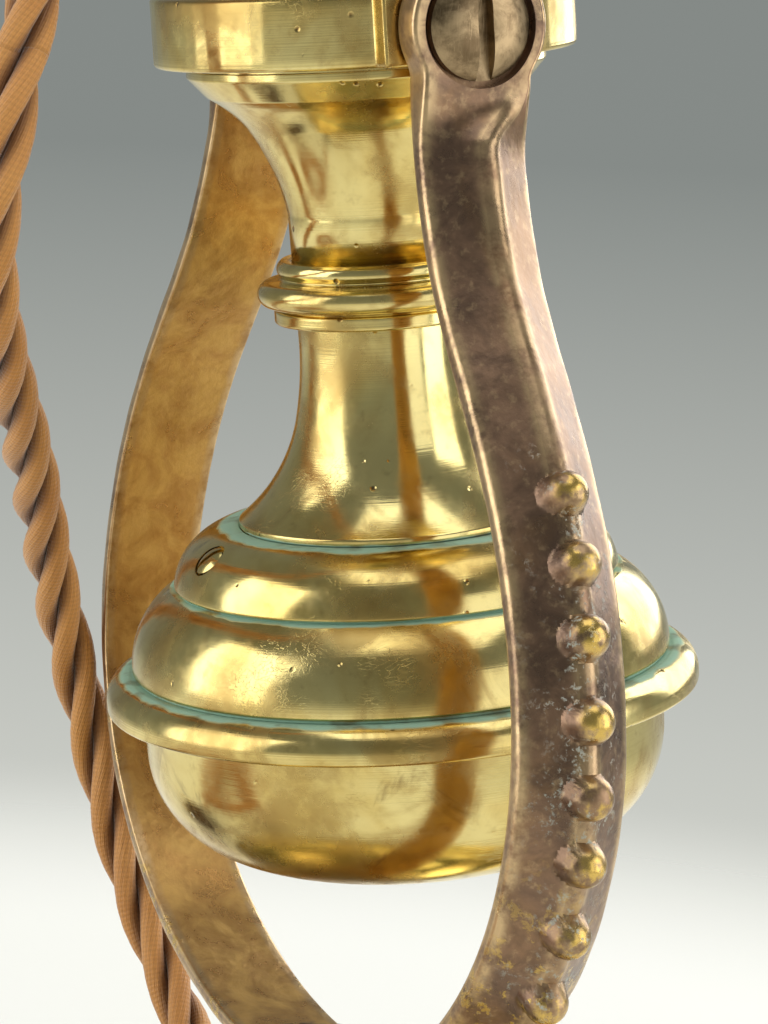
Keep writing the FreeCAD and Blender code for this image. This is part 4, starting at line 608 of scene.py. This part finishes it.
nodeFinish = {
    "bodyBrass": ["flare", "collar", "lower_neck", "shoulder_cover", "rim_ring", "bowl", "bottom_nut",
                  "drum", "drum_cover"],
    "ringBrass": ["gimbal_ring"],
    "partBrass": ["base_shell", "stem", "foot_nut", "lock_nut", "holder_base", "holder_shell", "shade_ring",
                  "inlet_bush", "outlet_bush", "shoulder_screws"],
    "cleanBrass": ["pivot_washers", "drum_bushes", "tie_rod", "plungers", "terminals", "bulb_cap",
                   "bulb_contacts", "plug_pins"],
    "bronze": ["yoke"],
    "darkSteel": ["pivot_screws"],
    "steel": ["stud_nut", "stud_washer", "stem_stud", "inner_pins", "plug_screw", "terminal_screws",
              "plunger_springs", "screw_strap", "filament"],
    "iron": ["base_weight", "ballast"],
    "felt": ["base_felt"],
    "ceramic": ["holder_insulator"],
    "bakelite": ["plug_body", "plug_cover", "bulb_base"],
    "rubber": ["exit_sleeve"],
    "glass": ["bulb_glass", "bulb_stem"],
    "silk": ["flex_tail", "flex_drop", "flex_run", "flex_coil", "flex_lead"],
}
for key, names in nodeFinish.items():
    for name in names:
        nodes[name].data.materials.clear()
        nodes[name].data.materials.append(finish[key])


# ---- flex: three twisted silk strands that follow the route's own spline

flexSizes = {
    "radius": 0.0030,
    "strandRadius": 0.00137,
    "strandReach": 0.00160,
    "lay": 0.0315,
    "around": 14,
    "turnAtLamp": 0.9,
}
tailRoute = hang([(0, -9.5, 21.2), (0, -21.0, 21.2), (0, -29.157, 17.396), (0, -34.942, 10.502),
                  (0, -38.103, -0.034)])
dropRoute = upright([
    (0, -37.823, -4.611), (0, -39.55, -14.62), (-4, -39.2, -23), (-12, -36, -31.2), (-24, -29.6, -40.4),
    (-36, -22.4, -50.3), (-47, -16.3, -60.8), (-55, -10.9, -72), (-58.5, -6.3, -83.4), (-57.5, -3.3, -94.7),
    (-53.5, -1.6, -104), (-47.5, 0, -112.3), (-40, 1.2, -119.3), (-25.22, 1.0, -131.95)])
runRoute = [(0, -46, 6.3), (0, -78, 6.3), (2.5, -94, 3.3), (4.2, -109, 3.06), (0, -126, 3.05),
            (0, -136, 3.05)]
leadRoute = [(-87.4, -136, 9.75), (-87.4, -126, 9.75), (-85.2, -115, 6.55), (-79.2, -105, 3.55),
             (-72.7, -96.5, 4.35),
             (-71.0, -86, 6.5), (-71.0, -69, 6.5)]
coilWinding = {
    "level": -142.0,
    "low": 3.05,
    "high": 9.75,
    "radii": [43.7, 40.35, 37.0, 33.65, 30.3, 26.95, 23.6, 26.95, 30.3, 33.65, 37.0, 40.35, 43.7],
    "perHalfTurn": 8,
    "cornerReach": 1.0195,
}


# Half turns laid end to end, alternately below and above the coil's level line, each a little smaller or
# larger.
def coilPoints():
    winding = coilWinding
    spots, here = [], 0.0
    turn = (np.arange(winding["perHalfTurn"]) + 0.5) * math.pi / winding["perHalfTurn"]
    for step, radius in enumerate(winding["radii"]):
        below = step % 2 == 0
        centre = here - radius if below else here + radius
        wide = radius * winding["cornerReach"]
        x = centre + (wide if below else -wide) * np.cos(turn)
        y = winding["level"] + (-wide if below else wide) * np.sin(turn)
        climb = stepped(turn / math.pi, 0, 1) if step == 6 else np.full(len(turn), float(step > 6))
        spots.append(np.stack([x, y, winding["low"] + (winding["high"] - winding["low"]) * climb], -1))
        here = centre - radius if below else centre + radius
    return np.concatenate(spots)


# The points of a smooth NURBS line that has these spots as its control points.
def routeLine(name, spots):
    curve = bpy.data.curves.new(name, "CURVE")
    curve.dimensions = "3D"
    curve.resolution_u = 10
    spline = curve.splines.new("NURBS")
    spline.points.add(len(spots) - 1)
    spline.points.foreach_set("co", np.concatenate([spots, np.ones((len(spots), 1))], 1).ravel())
    spline.order_u = 3
    spline.use_endpoint_u = True
    carrier = bpy.data.objects.new(name, curve)
    mesh = bpy.data.meshes.new_from_object(carrier)
    line = np.array([v.co for v in mesh.vertices], float)
    bpy.data.meshes.remove(mesh)
    bpy.data.curves.remove(curve)
    return line


def evenly(line, step):
    run = np.concatenate([[0], np.cumsum(np.linalg.norm(np.diff(line, axis=0), axis=1))])
    where = np.linspace(0, run[-1], max(8, int(run[-1] / step)))
    return np.stack([np.interp(where, run, line[:, k]) for k in range(3)], -1), where


# Cross directions along a line that never twist about it, each turned over from the one before.
def carried(line):
    tangent = np.gradient(line, axis=0)
    tangent /= np.linalg.norm(tangent, axis=1)[:, None]
    side = np.cross(tangent[0], [0.2, 0.3, 0.93])
    sides = [side / np.linalg.norm(side)]
    for k in range(1, len(line)):
        side = sides[-1] - tangent[k] * (sides[-1] @ tangent[k])
        sides.append(side / np.linalg.norm(side))
    sides = np.array(sides)
    return tangent, sides, np.cross(tangent, sides)


# Three helices round the line, and round each a ring of points: centre + reach * (cos, sin) of the lay
# angle.
def strandSet(line, where, start=0.0):
    tangent, side, over = carried(line)
    sets = []
    for k in range(3):
        angle = (where / flexSizes["lay"] * 2 * math.pi + k * 2 * math.pi / 3 + start)[:, None]
        outward = np.cos(angle) * side + np.sin(angle) * over
        centre = line + outward * flexSizes["strandReach"]
        ahead = np.gradient(centre, axis=0)
        ahead /= np.linalg.norm(ahead, axis=1)[:, None]
        out = outward - ahead * np.sum(outward * ahead, 1)[:, None]
        out /= np.linalg.norm(out, axis=1)[:, None]
        across = np.cross(ahead, out)
        turn = np.linspace(0, 2 * math.pi, flexSizes["around"], endpoint=False)
        ring = centre[:, None] + flexSizes["strandRadius"] * (np.cos(turn)[None, :, None] * out[:,
            None] + np.sin(turn)[None, :, None] * across[:, None])
        u = np.repeat(where[:, None] * 1000, flexSizes["around"], 1)
        v = np.repeat(turn[None] / (2 * math.pi), len(where), 0)
        sets.append((ring, np.stack([u, v], -1)))
    return sets


def flexPiece(name, sets, first, last):
    pieces = []
    for k, (ring, uv) in enumerate(sets):
        pieces.append(gridObject(f"{name}{k}", ring[first:last], caps=True, uv=uv[first:last]))
    work = bmesh.new()
    for piece in pieces:
        work.from_mesh(piece.data)
    mesh = bpy.data.meshes.new(name)
    work.to_mesh(mesh)
    work.free()
    for piece in pieces:
        bpy.data.meshes.remove(piece.data)
    mesh.materials.append(finish["silk"])
    made = bpy.data.objects.new(name, mesh)
    bpy.context.scene.collection.objects.link(made)
    return made


tailLine, dropLine = routeLine("tailRoute", tailRoute), routeLine("dropRoute", dropRoute)
hangLine, hangRun = evenly(np.concatenate([tailLine, dropLine[1:]]), 0.0007)
tailLong = np.linalg.norm(np.diff(tailLine, axis=0), axis=1).sum()
cut = int(np.searchsorted(hangRun, tailLong))
hangSets = strandSet(hangLine, hangRun, flexSizes["turnAtLamp"])
flexTail = flexPiece("flexTail", hangSets, 0, cut + 1)
flexDrop = flexPiece("flexDrop", hangSets, cut, len(hangLine))
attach(flexTail, "lamp")
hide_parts("flex_tail")
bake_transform(flexDrop)
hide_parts("flex_drop")

leadLine, leadRun = evenly(routeLine("leadRoute", grounded(np.concatenate([runRoute, coilPoints(),
    leadRoute]))), 0.0013)
flexLead = flexPiece("flexLead", strandSet(leadLine, leadRun), 0, len(leadLine))
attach(flexLead, "base")
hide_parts("flex_run", "flex_coil", "flex_lead")
print("flex: tail %.3f m, drop %.3f m, lead %.3f m" % (tailLong, hangRun[-1] - tailLong, leadRun[-1]))

tieSizes = {"centre": (-43.7, -142.0), "angle": math.radians(250), "inner": 19.9, "outer": 47.4, "top": 13.1,
            "width": 4.0, "thick": 0.45}


# A flat tape loop round the coil's bundle: a rounded oblong across the bundle, carried over the tape's
# width.
def makeTie():
    tie = tieSizes
    corners = [(tie["inner"], 0.05), (tie["outer"], 0.05), (tie["outer"], tie["top"]),
               (tie["inner"], tie["top"])]
    inside = softOutline([(*corner, 0, 2.2) for corner in corners], 2.2)
    middle = np.array([(tie["inner"] + tie["outer"]) / 2, tie["top"] / 2])
    outward = inside - middle
    outward /= np.maximum(abs(outward / np.array([middle[0] - tie["inner"], middle[1]])).max(1)[:, None],
                          1e-6) * np.array([middle[0] - tie["inner"], middle[1]])
    thick = np.where(inside[:, 1:] < 0.3, 0.03, tie["thick"])
    outside = inside + np.clip(outward, -1, 1) * thick
    half = tie["width"] / 2
    section = np.stack([np.concatenate([inside, np.full((len(inside), 1), -half)], 1),
                        np.concatenate([outside, np.full((len(inside), 1), -half)], 1),
                        np.concatenate([outside, np.full((len(inside), 1), half)],
                                       1), np.concatenate([inside, np.full((len(inside), 1), half)], 1)], 1)
    c, s = math.cos(tie["angle"]), math.sin(tie["angle"])
    x = tie["centre"][0] + section[..., 0] * c - section[..., 2] * s
    y = tie["centre"][1] + section[..., 0] * s + section[..., 2] * c
    made = gridObject("coilTie", grounded(np.stack([x, y, section[..., 1]], -1)), closedAlong=True)
    made.data.materials.append(plainFinish("cottonTape", colour(214, 204, 178), colour(190, 178, 150), 700,
                                           0.85, 0.6))
    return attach(made, "base")


coilTie = makeTie()


# ---- fork: one bow from eye to eye, a ridged section carried along its inner line

forkShape = {
    "innerLine": [(23.35, -2.0), (24.9, -12.0), (30.9, -26.0), (42.5, -42.0), (49.9, -57.0), (52.2, -71.0),
                  (48.568, -85.953), (38.177, -98.825), (21.232, -108.273), (0.0, -111.8)],
    "halfWidth": 5.9,
    "edge": 1.6,
    "crest": 5.6,
    "eyeRadius": 7.4,
    "eyeThickness": 3.6,
    "eyeEnd": -5.5,
    "armStart": -14.5,
    "beadRadius": 2.2,
    "beadPitch": 7.3,
    "beadStart": -43.0,
    "beads": 11,
    "beadShift": [0, -0.3, -0.6, 0, -0.1, -0.8, -0.4, 0.6, 0.2, -0.2, 0],
    "coarse": 0.8,
    "fine": 0.3,
    "foot": [(8.5, -118.2), (9.0, -117.7), (9.0, -112.0), (8.7, -111.65), (8.3, -111.6)],
    "footRecess": [(7.1, -115.0), (7.1, -100.0)],
    "eyeBore": [(3.25, 0.0), (3.25, 25.65), (6.1, 25.65), (6.1, 33.0)],
}


# Stations down one arm: place and outward direction, the section's sizes, and the run along the ridge.
def forkHalf():
    shape = forkShape
    line = smoothLine(shape["innerLine"], (0, -1), (-1, 0), 4001)
    top = np.stack([np.full(120, line[0, 0]), np.linspace(shape["eyeRadius"], line[0, 1], 121)[:-1]], -1)
    line = np.concatenate([top, line])
    run = np.concatenate([[0], np.cumsum(np.hypot(*np.diff(line, axis=0).T))])
    way = np.gradient(line, run, axis=0)
    way /= np.hypot(*way.T)[:, None]
    out = np.stack([-way[:, 1], way[:, 0]], -1)
    ridge = line + out * (shape["crest"] - 0.3)
    ridgeRun = np.concatenate([[0], np.cumsum(np.hypot(*np.diff(ridge, axis=0).T))])
    firstBead = ridgeRun[np.argmax(ridge[:, 1] <= shape["beadStart"])]
    beadRuns = firstBead + np.arange(shape["beads"]) * shape["beadPitch"] + np.array(shape["beadShift"])
    beadFrom, beadTo = np.interp([beadRuns[0] - 3.2, beadRuns[-1] + 3.2], ridgeRun, run)
    eyeTop = shape["eyeRadius"] * (1 - np.cos(np.linspace(0.03, 1.2, 22)))
    stations = np.concatenate([
        eyeTop,
        np.arange(eyeTop[-1] + 0.5, 20, 0.5),
        np.arange(20, beadFrom, shape["coarse"]),
        np.arange(beadFrom, beadTo, shape["fine"]),
        np.linspace(beadTo, run[-1], max(3, int((run[-1] - beadTo) / shape["coarse"]))),
    ])

    def along(values):
        return np.interp(stations, run, values)

    place = np.stack([along(line[:, 0]), along(line[:, 1])], -1)
    away = np.stack([along(out[:, 0]), along(out[:, 1])], -1)
    away /= np.hypot(*away.T)[:, None]
    return place, away, along(ridgeRun), beadRuns, place[:, 1], stations


def forkBow():
    shape = forkShape
    place, away, ridgeRun, beadRuns, height, stations = forkHalf()
    eye = stepped(height, shape["armStart"], shape["eyeEnd"])
    circle = np.sqrt(np.maximum(shape["eyeRadius"] ** 2 - height ** 2, 0.02))
    arm = np.where(height > 0, 0, shape["halfWidth"])
    k = 0.8
    mix = np.clip(0.5 + 0.5 * (circle - arm) / k, 0, 1)
    half = np.where(height > -3.0, circle, arm + (circle - arm) * mix + k * mix * (1 - mix))
    half = np.where(height < -9, shape["halfWidth"], half)
    edge = shape["edge"] + (shape["eyeThickness"] - shape["edge"]) * eye
    crest = shape["crest"] + (shape["eyeThickness"] + 0.02 - shape["crest"]) * stepped(height, -13.0, -7.0)
    shift = half * 0.86 * stepped(height, -13.5, -6.0)
    zero = np.zeros(len(height))
    corners = np.stack([
        np.stack([zero, -half], -1), np.stack([edge, -half], -1), np.stack([crest, shift], -1),
        np.stack([edge, half], -1), np.stack([zero, half], -1)], 1)
    soft = [0.35, 0.55, 1.2, 0.55, 0.35]
    counts = [3, 22, 22, 3, 10]
    loop, marks = [], {"edgeWear": [], "innerFace": [], "facet": []}
    ends = []
    for i in range(5):
        before, here, after = corners[:, i - 1], corners[:, i], corners[:, (i + 1) % 5]
        toBefore, toAfter = before - here, after - here
        longBefore, longAfter = np.hypot(*toBefore.T)[:, None] + 1e-9, np.hypot(*toAfter.T)[:, None] + 1e-9
        a = here + toBefore / longBefore * np.minimum(soft[i], 0.42 * longBefore)
        b = here + toAfter / longAfter * np.minimum(soft[i], 0.42 * longAfter)
        ends.append((a, here, b))
    for i in range(5):
        a, here, b = ends[i]
        for t in np.linspace(0, 1, 5):
            loop.append((1 - t) ** 2 * a + 2 * t * (1 - t) * here + t ** 2 * b)
            marks["edgeWear"].append((1.0, 1.0, 0.55, 1.0, 1.0)[i])
            marks["innerFace"].append((0.5, 0, 0, 0, 0.5)[i])
            marks["facet"].append((0, 1, 1, 1, 0)[i])
        onward = ends[(i + 1) % 5][0]
        spread = np.linspace(0, 1, counts[i] + 2)[1:-1]
        spread = {1: 1 - (1 - spread) ** 1.45, 2: spread ** 1.45}.get(i, spread)
        for t in spread:
            loop.append(b + (onward - b) * t)
            near = min(t, 1 - t) * (2.2, 7.0, 7.0, 2.2, 11.0)[i]
            marks["edgeWear"].append(0.75 * math.exp(-(near / 0.7) ** 2) if i in (1, 2, 4) else 0.5)
            marks["innerFace"].append(1.0 if i == 4 else 0.0)
            marks["facet"].append(1 if i in (1, 2) else 0)
    section = np.stack(loop, 1)
    rise, side = section[..., 0], section[..., 1]
    facet = np.array(marks["facet"])[None] * np.ones(rise.shape)
    bead = np.full(rise.shape, -9.0)
    nearest = np.full(rise.shape, 99.0)
    for spot in beadRuns:
        apart = np.hypot(ridgeRun[:, None] - spot, side)
        dome = -0.3 + np.sqrt(np.maximum(shape["beadRadius"] ** 2 - apart ** 2,
                                         0)) - 5 * np.maximum(apart - shape["beadRadius"], 0)
        bead = np.maximum(bead, dome)
        nearest = np.minimum(nearest, apart)
    lift = crest[:, None] + bead
    soften = 0.3
    mix = np.clip(0.5 + 0.5 * (lift - rise) / soften, 0, 1)
    domed = rise + (lift - rise) * mix + soften * mix * (1 - mix)
    rise = np.where(facet > 0, domed, rise)
    wave = 0.05 * np.sin(stations * 0.31)[:, None] + 0.035 * np.sin(stations * 0.83 + 1.1)[:, None]
    rise = rise + np.where(facet > 0, wave * (1 - eye[:, None]), 0)
    out = {
        "edgeWear": np.array(marks["edgeWear"])[None] * np.ones(rise.shape),
        "innerFace": np.array(marks["innerFace"])[None] * np.ones(rise.shape),
        # the bead tops, which the bronze finish paints gold, partly as rubbed metal and partly as a painted
        # highlight
        "beadTopRubAndGlint": stepped(bead, 0.2, 1.7) * facet,
        "beadFoot": np.exp(-(np.maximum(nearest - 2.3, 0) / 2.6) ** 2) * facet,
    }
    shapeRight = np.stack([place[:, :1] + away[:, :1] * rise, side, place[:, 1:] + away[:, 1:] * rise], -1)
    shapeLeft = shapeRight[::-1] * np.array([-1.0, 1, 1])
    whole = np.concatenate([shapeRight, shapeLeft[1:]])
    out = {key: np.concatenate([values, values[::-1][1:]]) for key, values in out.items()}
    return gridObject("forkBow", upright(whole), caps=True, marks=out)


def makeFork():
    bow = forkBow()
    bow.name = "fork"
    foot = plugTool("footTool", forkShape["foot"], (0, 0, 0), (0, 0, 1), upright, 96)
    carve(bow, [foot], "UNION", 30)
    tools = []
    for side in (1, -1):
        tools.append(plugTool("eyeTool%d" % side, forkShape["eyeBore"], (0, 0, 0), (side, 0, 0), upright,
                              96))
    tools.append(plugTool("footRecess", forkShape["footRecess"], (0, 0, 0), (0, 0, 1), upright, 96))
    carve(bow, tools, "DIFFERENCE", 30)
    bow.data.materials.clear()
    bow.data.materials.append(finish["bronze"])
    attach(bow, "base")
    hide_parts("yoke")
    return bow


fork = makeFork()
print("fork made:", len(fork.data.vertices), "points")


# ---- ring: an outline with two flat pads, carried through a section that ends on the bore

ringShape = {"radius": 22.3, "bore": 19.9, "pad": 22.9, "padHalf": 8.6, "height": 3.65, "edge": 0.5,
             "fillet": 1.0}


def makeRing():
    shape = ringShape
    hold = math.asin(shape["padHalf"] / shape["radius"])
    foot = shape["radius"] * math.cos(hold)
    bulge = math.tan((math.pi - 2 * hold) / 4) / 2
    outline = softOutline([
        (shape["pad"], -shape["padHalf"], 0, 0.45), (shape["pad"], shape["padHalf"], 0, 0.45),
        (foot, shape["padHalf"], bulge, shape["fillet"]), (-foot, shape["padHalf"], 0, shape["fillet"]),
        (-shape["pad"], shape["padHalf"], 0, 0.45), (-shape["pad"], -shape["padHalf"], 0, 0.45),
        (-foot, -shape["padHalf"], bulge, shape["fillet"]), (foot, -shape["padHalf"], 0,
                                                             shape["fillet"])], 0.4)
    dense, _ = evenly(np.concatenate([np.concatenate([outline, outline[:1]]),
                                      np.zeros((len(outline) + 1, 1))], 1), 0.35)
    dense = dense[:-1, :2]
    ahead = np.roll(dense, -1, 0) - np.roll(dense, 1, 0)
    ahead /= np.hypot(*ahead.T)[:, None]
    inward = np.stack([-ahead[:, 1], ahead[:, 0]], -1)
    bore = dense / np.hypot(*dense.T)[:, None] * shape["bore"]
    e, h = shape["edge"], shape["height"]
    turn = np.linspace(0, math.pi / 2, 6)
    outer = [(0, z) for z in np.linspace(0, h - e, 5)[1:]] + [(e * (1 - math.cos(t)),
                                                               h - e + e * math.sin(t)) for t in turn[1:]]
    upper = [dense + inward * inset for inset, _ in outer] + [dense + inward * (e + 0.25)]
    levels = [z for _, z in outer] + [h]
    rim = upper[-1]
    for share, level, reach in ((0.5, h, 0), (1.0, h, 0.35), (1.0, h - 0.04, 0.12), (1.0, h - 0.25, 0.0),
                                (1.0, h - 0.6, 0.0)):
        spot = rim + (bore * (1 + reach / shape["bore"]) - rim) * share
        upper.append(spot)
        levels.append(level)
    loop = [np.concatenate([spot, np.full((len(spot), 1), level)], 1) for spot, level in zip(upper, levels)]
    lower = [part * np.array([1, 1, -1.0]) for part in reversed(loop)]
    middle = np.concatenate([dense, np.zeros((len(dense), 1))], 1)
    made = gridObject("gimbalRing", hang(np.stack([middle] + loop + lower, 0)), closedAlong=True)
    made.data.materials.append(finish["ringBrass"])
    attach(made, "ring")
    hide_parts("gimbal_ring")
    return made


gimbalRing = makeRing()

# ---- lamp body: turned shells, outlines in millimetres from the pivots

bodyOutlines = {
    "flare": [(9.15, -24.8), (9.24, -19.891, -0.054), (13.001, -10.594, -0.05), (17.0, -7.099), (19.0, -4.9),
              (19.0, -4.0),
              (16.8, -4.0), (16.1, -6.099), (12.001, -9.844, 0.05), (7.95, -19.891), (7.95, -24.8)],
    "collar": [(5.05, -31.5), (11.15, -31.5), (11.35, -31.3), (11.35, -30.1), (10.85, -29.9),
               (11.7, -29.65, 0.5),
               (11.7, -26.95), (10.6, -26.8), (10.6, -26.4, 0.22), (10.4, -24.9), (10.3, -24.8), (5.05,
                   -24.8)],
    "lower_neck": [(15.3, -53.2), (16.6, -53.2), (16.6, -52.5, -0.084), (9.899, -42.502, -0.031),
                   (8.95, -32.997),
                   (8.95, -31.5), (7.75, -31.5), (7.75, -32.997, 0.031), (8.699, -42.502, 0.084), (15.3,
                       -53.0)],
    "shoulder_cover": [(27.8, -68.8), (28.95, -68.8), (28.95, -68.5), (29.3, -68.35, 0.136), (24.55, -59.75),
                       (23.7, -59.68),
                       (24.15, -59.3, 0.189), (17.2, -53.2), (16.7, -53.2), (16.5, -53.5), (16.1,
                           -53.2), (5.05, -53.2),
                       (5.05, -54.7), (16.7, -54.7, -0.189), (22.6, -60.0), (22.6, -61.2), (23.6, -61.3,
                           -0.136), (27.8, -68.4)],
    "rim_ring": [(25.6, -72.5), (31.85, -72.5, 0.2), (32.3, -72.05), (32.3, -71.3, 0.2), (29.7, -68.75),
                 (29.4, -68.8), (25.6, -68.8)],
    "bowl": [(7.05, -91.0), (7.994, -90.95, 0.04), (20.712, -88.336, 0.149), (28.308, -77.495),
             (28.45, -72.5), (26.85, -72.5),
             (26.716, -77.495, -0.149), (19.547, -86.995, -0.04), (7.545, -89.4), (6.05, -89.4), (6.05,
                 -89.5)],
}
coverScrew = {"spot": (21.828, -54.936), "tilt": math.radians(41.3), "headHole": 2.05, "headDepth": 0.9,
              "hole": 1.3}


def makeBody():
    made = {}
    for name, outline in bodyOutlines.items():
        piece = turned(name.replace("_", "") + "Brass", outline, soft=0.16, steps=256)
        if name == "shoulder_cover":
            tools = []
            for side in (1, -1):
                across, level = coverScrew["spot"]
                axis = (0, side * math.sin(coverScrew["tilt"]), math.cos(coverScrew["tilt"]))
                stages = [(coverScrew["hole"], -5.0), (coverScrew["hole"], -coverScrew["headDepth"]),
                          (coverScrew["headHole"], -coverScrew["headDepth"]), (coverScrew["headHole"], 3.0)]
                tools.append(plugTool("seat%d" % side, stages, (0, side * across, level), axis, hang, 48))
            carve(piece, tools)
        piece.data.materials.clear()
        piece.data.materials.append(finish["bodyBrass"])
        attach(piece, "lamp")
        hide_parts(name)
        made[name] = piece
    return made


body = makeBody()
print("lamp body made:", len(body), "shells")

# ---- floor, backdrop and light

studio = {
    "floor": colour(232, 232, 226),
    "floorHalf": 0.6,
    "floorCentre": (-0.02, -0.04, 0),
    "middle": (0, 0, 0.1),
    "cameraRight": (0.4245, 0.905, 0),
    "cameraTowards": (0.905, -0.4245, 0),
    "fadeFrom": 0.20,
    "fadeTo": 0.34,
    "ambient": 0.55,
    "horizon": colour(134, 139, 136),
    "low": colour(231, 232, 224),
    "high": colour(120, 124, 122),
}
lamps = [
    # name, place from the object's middle as (camera right, towards camera, up), width, height, brightness
    ("leftBox", (-0.98, 0.18, 0.25), 0.8, 1.0, 2.4),
    ("rightBox", (0.95, 0.28, 0.2), 0.6, 1.0, 2.4),
    ("backRightBox", (0.66, -0.75, 0.45), 0.8, 0.9, 3.0),
    ("frontBox", (0.62, 0.75, 0.15), 0.45, 0.8, 1.0),
    ("topBox", (0.0, 0.1, 1.1), 0.9, 0.9, 1.5),
]


def makeStudio():
    makeFloor()
    world = bpy.data.worlds.new("studio")
    bpy.context.scene.world = world
    world.use_nodes = True
    tree = world.node_tree
    tree.nodes.clear()
    way = node(tree, "TexCoord").outputs["Generated"]
    up = node(tree, "SeparateXYZ", {0: way}).outputs[2]
    shade = blended(tree, graded(tree, up, -0.34, -0.04, kind="LINEAR"), studio["low"], studio["horizon"])
    shade = blended(tree, graded(tree, up, -0.04, 0.5, kind="LINEAR"), shade, studio["high"])
    rays = node(tree, "LightPath").outputs
    seen = calc(tree, "MAXIMUM", rays["Is Camera Ray"], calc(tree, "MAXIMUM", rays["Is Glossy Ray"],
                                                             rays["Is Transmission Ray"]))
    direct = node(tree, "Background", {0: shade, 1: 1.0}).outputs[0]
    around = node(tree, "Background", {0: (1, 1, 1, 1), 1: studio["ambient"]}).outputs[0]
    both = node(tree, "MixShader", {0: seen, 1: around, 2: direct}).outputs[0]
    node(tree, "OutputWorld", {0: both})
    towards, right = np.array(studio["cameraTowards"]), np.array(studio["cameraRight"])
    middle = np.array(studio["middle"])
    for name, (across, near, rise), width, height, bright in lamps:
        light = bpy.data.lights.new(name, "AREA")
        light.shape, light.size, light.size_y = "RECTANGLE", width, height
        light.energy = bright * math.pi * width * height
        lamp = bpy.data.objects.new(name, light)
        spot = middle + right * across + towards * near + np.array([0, 0, rise])
        lamp.location = spot
        lamp.rotation_mode = "QUATERNION"
        lamp.rotation_quaternion = Vector(middle - spot).to_track_quat("-Z", "Y")
        bpy.context.scene.collection.objects.link(lamp)


# A flat disc under the lamp whose edge fades into the backdrop.
def makeFloor():
    size = studio["floorHalf"]
    points = np.array([(-size, -size, 0), (size, -size, 0), (size, size, 0), (-size, size, 0)], float)
    floor = meshObject("studioFloor", points, [np.array([[0, 1, 2, 3]])])
    material, tree, shader, out = newMaterial("paleFloor")
    place = placed(tree, studio["floorCentre"])
    distance = node(tree, "VectorMath", {0: place}, operation="LENGTH").outputs["Value"]
    fade = graded(tree, distance, studio["fadeFrom"], studio["fadeTo"])
    tone = blended(tree, cloud(tree, place, 9, 3), studio["floor"], studio["low"])
    feed(tree, shader, Base_Color=tone, Roughness=0.7)
    clear = node(tree, "BsdfTransparent").outputs[0]
    mixed = node(tree, "MixShader", {0: fade, 1: shader.outputs[0], 2: clear}).outputs[0]
    tree.links.new(mixed, out.inputs[0])
    floor.data.materials.append(material)
    return floor


makeStudio()
bpy.context.scene.view_settings.view_transform = "Standard"
print("studio made")
